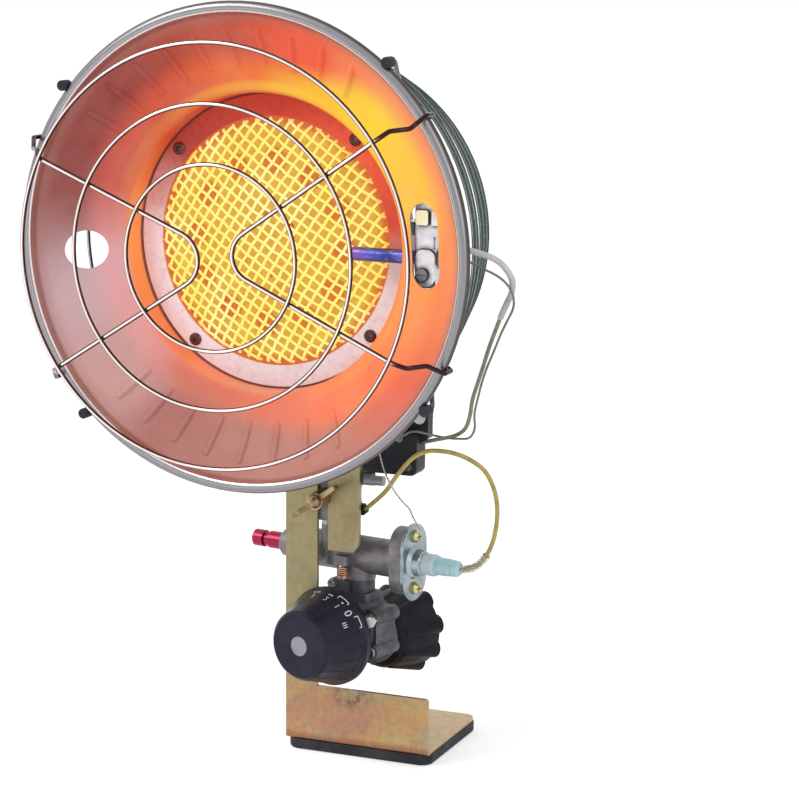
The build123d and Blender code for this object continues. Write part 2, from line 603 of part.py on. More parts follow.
def connector_boot():
    x0, z = BOOT_X, BARREL_Z
    body = Pos(0, 0, z) * lathe_x([(x0 - SHELL + 3.1, 0), (x0 - SHELL + 3.1, 2.1), (x0, 2.1), (x0, 4.3), (x0 + 6.5, 4.3),
                                   (x0 + 8.0, 3.9), (x0 + 9.0, 4.1), (x0 + 11.4, 3.7), (x0 + 12.6, 2.6),
                                   (x0 + 12.6, 0)])
    return body


def button_bushing():
    """Collar the button slides in, screwed into the end of the barrel."""
    z, x = BARREL_Z, BUSH_OUT
    body = Pos(0, 0, z) * lathe_x([(x, 4.36), (x, 5.6), (x + 1.3, 6.8), (-25.05, 6.8), (-25.05, 6.15),
                                   (BUTTON_IN + 0.5, 6.15), (BUTTON_IN + 0.5, 4.36)])
    return body


def safety_button():
    """Red push button: head, groove, shank, then the push rod."""
    z, x = BARREL_Z, BUTTON_OUT
    return Pos(0, 0, z) * lathe_x([(x, 0), (x, 3.5), (x + 0.7, 4.2), (x + 6.1, 4.2), (x + 6.5, 3.0),
                                   (x + 9.1, 3.0), (x + 9.5, 4.3), (BUTTON_IN, 4.3), (BUTTON_IN, 1.9), (-1.0, 1.9),
                                   (-1.0, 0)])


SEAT_X = -9.0            # face the return spring bears on


def button_spring():
    """Return spring round the push rod."""
    gap = SEAT_X - BUTTON_IN
    r = 0.45
    coil = Helix(pitch=(gap - 2 * r - 0.1) / 5, height=gap - 2 * r - 0.1, radius=3.6)
    body = sweep(Plane(origin=coil @ 0, z_dir=coil % 0) * Circle(r), path=coil)
    return Pos(BUTTON_IN + r + 0.05, 0, BARREL_Z) * Rot(0, 90, 0) * body


def spring_seat():
    z, x = BARREL_Z, SEAT_X
    return Pos(0, 0, z) * lathe_x([(x, 2.0), (x, 6.15), (x + 2, 6.15), (x + 2, 2.0)])


def bleed_screw():
    x, y = 8.0, -11.0
    pts = [(0, -170.4), (2.2, -170.4), (2.2, -169.6)]
    zz = -169.6
    while zz < -164.8:
        pts += [(2.9, zz + 0.35), (2.9, zz + 0.65), (2.3, zz + 1.0)]
        zz += 1.0
    pts += [(1.85, -163.86), (1.85, -161.0), (0, -161.0)]
    face = make_face(Polyline(*[(r, 0, z) for r, z in pts], close=True))
    return Pos(x, y, 0) * revolve(face, axis=Axis.Z)


# ---- regulator, knob, inlet (x across, y to the back, about the regulator's neck) ------------
def regulator_body():
    x, z = KNOB_X, KNOB_Z
    body = cyl(16.0, (x, -13.0, z), (x, 6.0, z)) + cyl(11.0, (x, -21.7, z), (x, -12.9, z))
    body += cyl(14.6, (x, 5.9, INLET_Z + 2), (x, 10.0, INLET_Z + 2))
    # cheeks that square the casting up on the right-hand side, with cast lugs
    body += box(x, x + 17.5, -11.0, 4.0, z - 10, z + 12)
    for dx, dz in LUGS:
        body += cyl(3.6, (x + dx, LUG_Y, z + dz), (x + dx, 4.8, z + dz))
    # neck up into the valve body
    body += cyl(7.4, (0, 0, z + 12), (0, 0, -172.05)) + cyl(4.5, (0, 0, -173), (0, 0, -167.0))
    body += box(-7.0, 9.0, -7.5, 5.5, z + 8, -178.0)
    body += box(-11.6, 0, -9.0, -4.0, -177.6, -172.6)
    body -= cyl(2.4, (0, 0, z - 2), (0, 0, -160))
    body -= cyl(3.1, (x, -30, z), (x, -4, z))
    body -= cyl(5.05, (x, 2, INLET_Z), (x, 14, INLET_Z))
    body -= cyl(1.2, (VENT[0], -14, VENT[1]), (VENT[0], -5.2, VENT[1]))
    for dx, dz in LUGS:
        body -= cyl(1.45, (x + dx, LUG_Y - 2, z + dz), (x + dx, -4.0, z + dz))
    return body


VENT = (-9.2, -174.6)
LUGS, LUG_Y = ((16.2, -8.0), (16.2, 8.5)), -13.05    # the casting's screw lugs about the knob's axis


def body_screws():
    out = []
    for dx, dz in LUGS:
        px, py, pz = KNOB_X + dx, LUG_Y - 0.04, KNOB_Z + dz
        b = cyl(2.7, (px, py - 1.76, pz), (px, py, pz)) + cyl(1.4, (px, py - 0.1, pz), (px, -4.4, pz))
        b -= box(px - 1.9, px + 1.9, py - 2.4, py - 1.0, pz - 0.35, pz + 0.35)
        b -= box(px - 0.35, px + 0.35, py - 2.4, py - 1.0, pz - 1.9, pz + 1.9)
        out.append(b)
    return Compound(children=out)


def vent_screw():
    x, z = VENT
    b = cyl(2.3, (x, -11.0, z), (x, -9.04, z)) + cyl(1.15, (x, -9.1, z), (x, -5.6, z))
    return b - cyl(1.1, (x, -11.2, z), (x, -10.0, z))


def index_plate():
    """Pressed plate behind the knob; its tab is the pointer."""
    x, z = KNOB_X, KNOB_Z
    y1 = -21.74
    body = cyl(12.5, (x, y1 - 1.0, z), (x, y1, z))
    arm = Pos(16.5, 0, 0) * Box(18.0, 1.0, 5.0)
    tip = Plane.XZ * make_face(Polyline((25.3, 2.5), (25.3, -2.5), (28.6, 0), close=True))
    arm += Pos(0, 0.5, 0) * extrude(tip, amount=1.0)
    body += Pos(x, y1 - 0.5, z) * Rot(0, -23.8, 0) * arm
    body -= cyl(3.2, (x, y1 - 4, z), (x, y1 + 2, z))
    return body


def knob_stem():
    x, z = KNOB_X, KNOB_Z
    body = cyl(3.04, (x, -38.0, z), (x, -8.0, z))
    body -= box(x - 4, x + 4, -39, -28.0, z + 1.9, z + 5)
    return body


def knob():
    """Hollow tapered knob with a skirt, finger grooves and a socket for the stem."""
    f, b, r = KNOB_FRONT, KNOB_BACK, KNOB_R
    body = lathe_y([(0, f), (15.6, f), (16.9, f + 1.2), (r - 1.4, b - 5.0), (r - 0.9, b - 3.8), (r - 0.4, b - 3.2),
                    (r, b - 2.6), (r, b), (r - 1.8, b), (20.6, b - 4.4), (20.0, b - 6.4), (15.6, f + 3.0),
                    (0, f + 3.0)])
    cuts = []
    for i in range(20):
        a = 2 * pi * i / 20
        if 0.6 < a < 2.75:
            continue
        c, s = cos(a), sin(a)
        cuts.append(cyl(1.3, (17.9 * c, f + 1.0, 17.9 * s), ((r - 0.6) * c, b - 5.6, (r - 0.6) * s)))
    body -= cuts
    body += cyl(5.6, (0, f + 2.9, 0), (0, b - 1.0, 0)) - cyl(3.06, (0, f + 8, 0), (0, b + 2, 0))
    for k in range(3):
        body += Rot(0, 120 * k + 30, 0) * box(5.0, 16.2, f + 2.9, b - 10, -0.8, 0.8)
    body -= cyl(4.75, (0, f - 1, 0), (0, f + 1.0, 0))
    return Pos(KNOB_X, 0, KNOB_Z) * body


def knob_insert():
    return cyl(4.7, (KNOB_X, KNOB_FRONT - 0.25, KNOB_Z), (KNOB_X, KNOB_FRONT + 0.98, KNOB_Z))


def inlet_nipple():
    """Brass tail piece: shoulder inside the nut, tapered nose with the check seat."""
    pts = [(2.2, 2.4), (5.0, 2.4), (5.0, 10.0), (8.0, 10.04), (8.0, 15.3), (14.2, 15.3), (14.2, 17.8),
           (7.6, 17.8), (7.6, 21.4), (6.4, 23.2), (4.4, 24.2), (2.2, 24.2)]
    return Pos(KNOB_X, 0, INLET_Z) * lathe_y(pts)


def inlet_seal():
    return Pos(KNOB_X, 0, INLET_Z) * lathe_y([(7.63, 17.84), (9.2, 17.84), (9.2, 20.6), (7.63, 21.0)])


def coupling_nut():
    """Lobed hand nut, wider towards the tank, free to spin on the tail piece."""
    y0, y1 = 10.2, INLET_Y
    body = lathe_y([(0, y0), (13.6, y0), (15.4, y0 + 1.8), (16.8, y0 + 5), (19.4, 27.0), (20.6, y1 - 1.0),
                    (19.8, y1), (0, y1)])
    for i in range(9):
        a = 2 * pi * i / 9 + 0.2
        body += cyl(2.8, (14.6 * cos(a), y0 + 5.5, 14.6 * sin(a)), (18.7 * cos(a), y1 - 0.01, 18.7 * sin(a)), 4.8)
    body -= cyl(8.06, (0, y0 - 1, 0), (0, 20, 0))
    # pocket for the tail piece's shoulder, thread relief, then the threaded length
    body -= cyl(14.6, (0, 15.2, 0), (0, 19.0, 0)) + cyl(THREAD_R + 0.6, (0, 18.9, 0), (0, THREAD_Y, 0))
    body -= cyl(THREAD_R, (0, THREAD_Y - 0.1, 0), (0, y1 + 1, 0))
    return Pos(KNOB_X, 0, INLET_Z) * (body & cyl(40, (0, 0, 0), (0, y1, 0)))


# ---- sliding foot bracket -----------------------------------------------------------------
def support_bracket():
    """One gold sheet: fork, long strip, wall and foot."""
    y0, t = BR_Y, BR_T
    s0, s1 = SLOT_X - SLOT_W / 2, SLOT_X + SLOT_W / 2
    outline = Polyline(
        (BR_LEFT + 3, BR_TOP), (BR_RIGHT - 3, BR_TOP), (BR_RIGHT, BR_TOP - 3), (BR_RIGHT, LEG_END + 4),
        (BR_RIGHT - 3, LEG_END), (s1 + 0.6, LEG_END), (s1, LEG_END + 0.6), (s1, SLOT_TOP - 2.0),
        (s1 - 1.6, SLOT_TOP), (s0 + 1.6, SLOT_TOP), (s0, SLOT_TOP - 2.0), (s0, WALL_TOP),
        (WALL_RIGHT - 1, WALL_TOP), (WALL_RIGHT, WALL_TOP - 1), (WALL_RIGHT, FOOT_Z + t + 0.5),
        (BR_LEFT, FOOT_Z + t + 0.5), (BR_LEFT, BR_TOP - 3), close=True)
    face = Plane.XZ * make_face(outline)
    body = extrude(face, amount=t)
    body = Pos(0, y0 + t, 0) * body
    foot = box(BR_LEFT, WALL_RIGHT, y0 + t + 0.5, FOOT_END, FOOT_Z, FOOT_Z + t)
    far = foot.edges().filter_by(Axis.Z).group_by(Axis.Y)[-1]
    foot = fillet(far, 5.0)
    body += foot
    # rounded bend between wall and foot
    cy, cz, ro = y0 + t + 0.5, FOOT_Z + t + 0.5, t + 0.5
    bend = cyl(ro, (BR_LEFT, cy, cz), (WALL_RIGHT, cy, cz)) - cyl(0.5, (BR_LEFT - 1, cy, cz), (WALL_RIGHT + 1, cy, cz))
    bend &= box(BR_LEFT, WALL_RIGHT, cy - 5, cy, cz - 5, cz)
    return body + bend


def foot_pad():
    x0, x1 = BR_LEFT - 0.4, WALL_RIGHT + 0.6
    y0, y1 = BR_Y + 0.9, FOOT_END + 1.0
    top = FOOT_Z - 0.02
    body = box(x0, x1, y0, y1, top - PAD_T, top)
    body = fillet(body.edges().filter_by(Axis.Z), 6.5)
    return fillet(body.faces().sort_by(Axis.Z)[0].edges(), 1.4)


def wing_bolt():
    """Cast wing bolt; its shoulder bears on the bracket."""
    x, z, yf = SLOT_X, WING_Z, BR_Y - 0.04
    body = cyl(4.3, (x, yf - 2.2, z), (x, yf, z)) + cyl(4.2, (x, yf - 9.6, z), (x, yf - 2.1, z), 4.3)
    body = body + Pos(x, yf - 9.5, z) * Sphere(3.4)
    body += cyl(WING_R, (x, yf - 0.1, z), (x, RISER_Y - 9.9, z))
    wing = Plane.XZ * make_face(Polyline((2.4, -1.5), (7.5, -1.25), (13.9, -1.0), (13.9, 1.0), (7.5, 1.25),
                                         (2.4, 1.5), close=True))
    w = extrude(wing, amount=9.0)
    trim = Polyline((2.0, 0.2), (6.0, -1.2), (10.0, -5.0), (15.0, -6.2), (15.0, -11.8), (9.5, -11.2),
                    (2.0, -8.4), close=True)
    w = Pos(0, -2.0, 0) * w
    w &= Pos(0, 0, -3) * extrude(make_face(trim), amount=6)
    for turn in (36.2, 216.2):
        body += Pos(x, yf - 1.4, z) * Rot(0, -turn, 0) * w
    return body


# ---- leads ------------------------------------------------------------------------------------
def at_valve(x, y, z):
    p = (VALVE * Location((x, y, z))).position
    return (round(p.X, 3), round(p.Y, 3), round(p.Z, 3))


BOOT_END = BOOT_X + 12.6
SPLICE = ((108.0, 40.6, -27.7), (-0.441, 0.376, -0.815))     # end of the cream sleeve and its heading
LEADS = {
    # cream sleeve, from the block behind the bowl round to the splice
    "lead_sleeve": (1.4, [(95.85, 23.6, 4.2), (104.6, 23.8, 2.6), (111.8, 25.1, 0.1), (116.0, 27.5, -4.6),
                          (117.6, 30.1, -9.9), (115.4, 34.1, -16.0), (111.8, 37.4, -21.0), SPLICE[0]]),
    # olive lead from the sleeve down to the side of the switch
    "thermocouple_lead": (0.95, [tuple(p + 0.2 * d for p, d in zip(*SPLICE)), (105.4, 43.4, -32.4),
                                 (101.3, 48.0, -39.4), (97.5, 52.6, -46.6), (93.4, 58.0, -54.6),
                                 (89.0, 63.5, -62.7), (84.6, 69.0, -70.9), (81.8, 74.5, -79.0),
                                 (77.6, 80.1, -87.1), (70.6, 85.1, -91.7), (61.7, 89.4, -94.6),
                                 (SW["x1"] + 0.15, *LEAD_IN)]),
    # thin lead beside it, to the post at the top of the switch
    "thin_lead": (0.55, [(95.9, 22.6, 0.4), (105.0, 23.2, -3.5), (112.9, 25.2, -7.1), (116.9, 27.6, -11.7),
                         (118.0, 30.1, -16.5), (116.6, 34.0, -21.9), (112.4, 38.0, -27.9), (107.5, 42.2, -35.6),
                         (102.7, 47.2, -44.2), (97.7, 52.5, -52.2), (93.2, 58.0, -60.7), (89.3, 63.5, -69.3),
                         (85.5, 69.1, -77.9), (84.6, 74.1, -84.8), (80.5, 78.1, -90.9), (74.2, 79.7, -91.7),
                         (67.6, 81.0, -92.2), (60.2, 82.1, -91.6), (54.0, 82.4, -90.8), (49.7, 81.9, -90.4),
                         (45.0, 82.8, -93.6)]),
    # amber lead from the magnet's connector over the switch to the arm
    "control_lead": (1.1, [at_valve(BOOT_END + 0.3, 0, BARREL_Z), at_valve(BOOT_END + 7.0, 0, BARREL_Z + 1.5),
                           (79.5, 101.9, -153.2), (84.0, 100.6, -145.0), (86.8, 98.2, -134.6), (87.9, 95.7, -124.9),
                           (86.9, 92.6, -115.4), (83.7, 89.6, -107.5), (78.4, 86.8, -103.0), (71.9, 83.9, -99.7),
                           (64.8, 81.7, -98.5), (57.2, 80.5, -99.0), (50.6, 80.2, -103.0), (45.5, 79.8, -109.4),
                           (41.5, 80.9, -114.5), (35.4, 86.9, -121.5), (27.0, 95.3, -128.3), (17.7, 103.6, -135.4)]),
    # bare twisted wire from the switch's other post to the flange screw
    "ground_wire": (0.5, [(33.2, 82.4, -100.6), (36.2, 80.8, -108.8), (39.2, 79.0, -113.4), (41.6, 79.9, -118.3),
                          (42.1, 85.9, -123.5), (42.7, 92.6, -128.6), (42.7, 98.5, -131.8), (42.2, 103.6, -137.4),
                          at_valve(FLANGE_X + 4.6, 0, BARREL_Z + SCREW_DZ + 3.6)]),
}


def lead_tail():
    """Clear sleeve shrunk over the first stretch of the control lead."""
    path, _ = bent_path(LEADS["control_lead"][1])
    part = path.trim(0.2 / path.length, 17.0 / path.length)
    start = Plane(origin=part @ 0, z_dir=part % 0)
    return sweep(start * Circle(1.9), path=part) - sweep(start * Circle(1.14), path=part)


def lead_terminal():
    """Push-on terminal on the arm's tongue, its barrel facing the lead."""
    p, q = Vector(*LEADS["control_lead"][1][-1]), Vector(*LEADS["control_lead"][1][-2])
    d = (q - p).normalized()
    a = p - d * 0.05
    body = cyl(1.9, tuple(a - d * 4.2), tuple(a)) + box(10.2, 16.4, 104.0, 107.6, -138.4, -133.6)
    body -= box(10.3, 14.9, 105.0, 106.45, -140, -123)
    return body


def lead_grommet():
    """Fibre block behind the bowl where the probe's leads come out."""
    x = PLATE_X + 13.4
    body = box(x, x + 8.5, TC_Y - 11.3, TC_Y - 1.8, -4.4, 7.6)
    body = fillet(body.edges().filter_by(Axis.X), 1.8)
    body += cyl(3.0, (x - 4.0, TC_Y, TC_Z), (x + 1.6, TC_Y, TC_Z))
    body -= cyl(1.65, (x - 7, TC_Y, TC_Z), (x - 0.4, TC_Y, TC_Z))
    r0, r1, r2 = THROAT_R + 1.8, x - 1.0, RIM_R - 6.0
    keep = lathe_y([(r0, TC_Y + 20), (r0, bowl_y(r0) + 0.7), (r1, bowl_y(r1) + 0.7), (r2, bowl_y(r2) + 0.9),
                    (r2, TC_Y + 20)])
    return max((body & keep).solids(), key=lambda s: s.volume)


HEAD_NODES = {
    "reflector": reflector, "burner_ring": burner_ring, "burner_rivets": burner_rivets,
    "burner_mesh": burner_mesh, "burner_screen": burner_screen, "burner_plenum": burner_plenum,
    "mixing_tube": mixing_tube, "guard_legs": guard_legs, "rear_rings": rear_rings, "rear_spokes": rear_spokes,
    "rim_clips": rim_clips,
    "thermocouple_probe": thermocouple_probe, "thermocouple_bracket": thermocouple_bracket,
    "thermocouple_screw": thermocouple_screw, "lead_grommet": lead_grommet, "lead_terminal": lead_terminal,
    "lead_tail": lead_tail,
    "switch_case": switch_case, "switch_cover": switch_cover, "switch_screws": switch_screws,
    "switch_terminals": switch_terminals, "switch_bracket": switch_bracket, "switch_bolt": switch_bolt,
    "spacer_pin": spacer_pin, "clamp_lug": clamp_lug, "support_bracket": support_bracket,
    "foot_pad": foot_pad, "wing_bolt": wing_bolt,
}
VALVE_NODES = {
    "valve_body": valve_body, "orifice_nozzle": orifice_nozzle, "valve_flange": valve_flange,
    "flange_screws": flange_screws, "magnet_unit": magnet_unit, "connector_shell": connector_shell,
    "connector_boot": connector_boot, "button_bushing": button_bushing, "safety_button": safety_button,
    "button_spring": button_spring, "spring_seat": spring_seat, "bleed_screw": bleed_screw,
}
REG_NODES = {
    "regulator_body": regulator_body, "body_screws": body_screws, "vent_screw": vent_screw,
    "index_plate": index_plate, "knob_stem": knob_stem, "knob": knob, "knob_insert": knob_insert,
    "inlet_nipple": inlet_nipple, "inlet_seal": inlet_seal, "coupling_nut": coupling_nut,
}

os.makedirs("parts", exist_ok=True)


def save(name, shape):
    solids = shape.solids()
    shape = solids[0] if len(solids) == 1 else Compound(children=list(solids))
    shape = shape.moved(ORIGIN)
    b = shape.bounding_box()
    print(f"{name:22s} solids {len(solids)} vol {sum(s.volume for s in solids):10.1f} "
          f"x {b.min.X:7.1f} {b.max.X:7.1f} y {b.min.Y:7.1f} {b.max.Y:7.1f} z {b.min.Z:7.1f} {b.max.Z:7.1f}")
    export_step(shape, f"parts/{name}.step")


for name, make in HEAD_NODES.items():
    save(name, make())
for name, radius in RINGS.items():
    save(name, guard_ring(radius))
for name, make in VALVE_NODES.items():
    save(name, make().moved(VALVE))
for name, make in REG_NODES.items():
    save(name, make().moved(REG))
for name, (r, pts) in LEADS.items():
    save(name, cord(name, pts, r))
print("inlet in head frame", tuple(round(v, 2) for v in (INLET.X, INLET.Y, INLET.Z)))
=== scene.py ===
"""Looks of a tank-top propane heater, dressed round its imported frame.

Everything is in metres, +Z up, with the origin at the heater's tank inlet. Sizes that belong to the
heater itself are written in millimetres in the head's own frame: the reflector's rim plane is y = 0,
the bowl looks towards -Y, and x = z = 0 is the reflector's axis.
"""
from math import ceil, cos, hypot, pi, radians, sin, sqrt

import bpy
from mathutils import Matrix, Vector


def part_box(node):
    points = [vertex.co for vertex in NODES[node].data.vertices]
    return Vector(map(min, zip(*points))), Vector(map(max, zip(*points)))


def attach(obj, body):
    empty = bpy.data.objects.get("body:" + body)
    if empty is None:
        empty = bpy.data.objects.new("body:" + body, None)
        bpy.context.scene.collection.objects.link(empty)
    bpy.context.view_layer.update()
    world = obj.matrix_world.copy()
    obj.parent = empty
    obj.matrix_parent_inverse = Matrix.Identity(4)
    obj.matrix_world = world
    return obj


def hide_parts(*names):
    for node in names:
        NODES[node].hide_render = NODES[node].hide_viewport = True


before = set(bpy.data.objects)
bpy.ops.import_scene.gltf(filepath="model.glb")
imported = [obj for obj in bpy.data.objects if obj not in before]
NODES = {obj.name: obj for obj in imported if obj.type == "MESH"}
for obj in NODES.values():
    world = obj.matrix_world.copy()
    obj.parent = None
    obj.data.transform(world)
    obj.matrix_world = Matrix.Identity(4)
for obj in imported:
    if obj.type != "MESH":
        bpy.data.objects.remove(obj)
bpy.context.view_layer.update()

# ---- places, millimetres in the head frame -----------------------------------------------------
MM = 0.001
HEAD = Vector((-21.22, -149.33, 204.0))      # centre of the rim plane, from the tank inlet
RISER_Y = 115.0                              # axis of the riser, and of the valve under it
VALVE_YAW, REG_YAW, NECK_X = 9.0, 14.5, 11.0
BARREL_Z = -160.2
BOOT_END = 67.55                             # end of the connector's boot, along the barrel
FLANGE_X, SCREW_DZ = 40.4, 12.75
THROAT_Y, SEAT_Y, SEAT_R = 28.0, 40.1, 58.5  # where the recess starts, its floor, and the hole in that floor
# circle of the inner screen's hole clusters, the turn of its first one, and the turn between two
CLUSTER_R, CLUSTER_TURN, CLUSTER_STEP = 36.5, -3.0, 30.0
KNOB_X, KNOB_Z, KNOB_BACK, KNOB_FRONT = 1.0, -195.8, -23.6, -48.0
FLOOR_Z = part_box("foot_pad")[0].z

TO_PART = Matrix.Scale(MM, 4) @ Matrix.Translation(HEAD)
VALVE = Matrix.Translation((0, RISER_Y, 0)) @ Matrix.Rotation(radians(-VALVE_YAW), 4, "Z")
NECK_TURN = Matrix.Rotation(radians(VALVE_YAW - REG_YAW), 4, "Z")
REGULATOR = VALVE @ Matrix.Translation((NECK_X, 0, 0)) @ NECK_TURN


def place(x, y, z, turn=None):
    """A point of the head frame, or of the valve's or regulator's, in the part's frame in metres."""
    point = Vector((x, y, z))
    return TO_PART @ (turn @ point if turn else point)


# ---- camera, floor and light -------------------------------------------------------------------
CAMERA_AT = Vector((0.47410, -1.15996, 0.35362))
CAMERA_YAW, CAMERA_PITCH, CAMERA_ROLL = 22.456, 10.813, 0.497    # left, down, and tilt, degrees
FOCAL_PX, FRAME_PX, SENSOR = 2600.0, 799.0, 36.0


def make_camera():
    yaw, pitch, roll = radians(CAMERA_YAW), radians(CAMERA_PITCH), radians(CAMERA_ROLL)
    ahead = Vector((-sin(yaw) * cos(pitch), cos(yaw) * cos(pitch), -sin(pitch)))
    level = Vector((cos(yaw), sin(yaw), 0))
    above = level.cross(ahead)
    right = cos(roll) * level + sin(roll) * above
    up = cos(roll) * above - sin(roll) * level
    data = bpy.data.cameras.new("camera")
    data.sensor_width = SENSOR
    data.lens = FOCAL_PX / FRAME_PX * SENSOR
    data.clip_start, data.clip_end = 0.05, 100
    camera = bpy.data.objects.new("camera", data)
    turn = Matrix((right, up, -ahead)).transposed().to_4x4()
    camera.matrix_world = Matrix.Translation(CAMERA_AT) @ turn
    bpy.context.scene.collection.objects.link(camera)
    bpy.context.scene.camera = camera


def seen_rays(tree):
    """1 for rays that show the background: from the camera, or off gloss and through glass."""
    path = tree.nodes.new("ShaderNodeLightPath")
    total = path.outputs["Is Camera Ray"]
    for name in ("Is Glossy Ray", "Is Transmission Ray"):
        add = tree.nodes.new("ShaderNodeMath")
        add.operation, add.use_clamp = "ADD", True
        tree.links.new(total, add.inputs[0])
        tree.links.new(path.outputs[name], add.inputs[1])
        total = add.outputs[0]
    return total


def make_world(lit=0.62, shown=1.0):
    world = bpy.data.worlds.new("studio")
    bpy.context.scene.world = world
    world.use_nodes = True
    tree = world.node_tree
    light = tree.nodes["Background"]
    light.inputs["Color"].default_value = (0.96, 0.98, 1.0, 1)
    light.inputs["Strength"].default_value = lit
    white = tree.nodes.new("ShaderNodeBackground")
    white.inputs["Color"].default_value = (1, 1, 1, 1)
    white.inputs["Strength"].default_value = shown
    pick = tree.nodes.new("ShaderNodeMixShader")
    tree.links.new(seen_rays(tree), pick.inputs["Fac"])
    tree.links.new(light.outputs[0], pick.inputs[1])
    tree.links.new(white.outputs[0], pick.inputs[2])
    tree.links.new(pick.outputs[0], tree.nodes["World Output"].inputs["Surface"])


def make_floor(size=30.0, paint=0.82, lift=0.49):
    """Plain pale floor. It is lifted to white where it is seen, and keeps the heater's shadow."""
    mesh = bpy.data.meshes.new("floor")
    half = size / 2
    corners = [(-half, -half, 0), (half, -half, 0), (half, half, 0), (-half, half, 0)]
    mesh.from_pydata(corners, [], [(0, 1, 2, 3)])
    floor = bpy.data.objects.new("floor", mesh)
    floor.location.z = FLOOR_Z - 0.0002
    bpy.context.scene.collection.objects.link(floor)
    mat = bpy.data.materials.new("floor_paper")
    mat.use_nodes = True
    tree = mat.node_tree
    shader = tree.nodes["Principled BSDF"]
    shader.inputs["Base Color"].default_value = (paint, paint, paint, 1)
    shader.inputs["Roughness"].default_value = 0.9
    shader.inputs["Specular IOR Level"].default_value = 0.1
    shader.inputs["Emission Color"].default_value = (1, 1, 1, 1)
    gain = tree.nodes.new("ShaderNodeMath")
    gain.operation = "MULTIPLY"
    gain.inputs[1].default_value = lift
    tree.links.new(seen_rays(tree), gain.inputs[0])
    tree.links.new(gain.outputs[0], shader.inputs["Emission Strength"])
    mesh.materials.append(mat)


def softbox(name, at, aim, size, power):
    data = bpy.data.lights.new(name, "AREA")
    data.shape, data.size = "SQUARE", size
    data.energy = power
    lamp = bpy.data.objects.new(name, data)
    lamp.location = at
    lamp.rotation_euler = (Vector(aim) - Vector(at)).to_track_quat("-Z", "Y").to_euler()
    bpy.context.scene.collection.objects.link(lamp)


AIM = (0, 0, 0.1)

make_camera()
make_world()
make_floor()
softbox("key_light", at=(-1.3, -1.5, 1.7), aim=AIM, size=1.2, power=26)
softbox("fill_light", at=(1.9, -1.2, 1.0), aim=AIM, size=1.6, power=10)


# ---- materials ---------------------------------------------------------------------------------
def feed(tree, socket, value):
    """Give a socket a number, a colour, a vector or another node's output."""
    if isinstance(value, bpy.types.NodeSocket):
        tree.links.new(value, socket)
    elif isinstance(value, (tuple, Vector)) and len(socket.default_value) == 4:
        socket.default_value = (*value, 1.0)
    else:
        socket.default_value = value


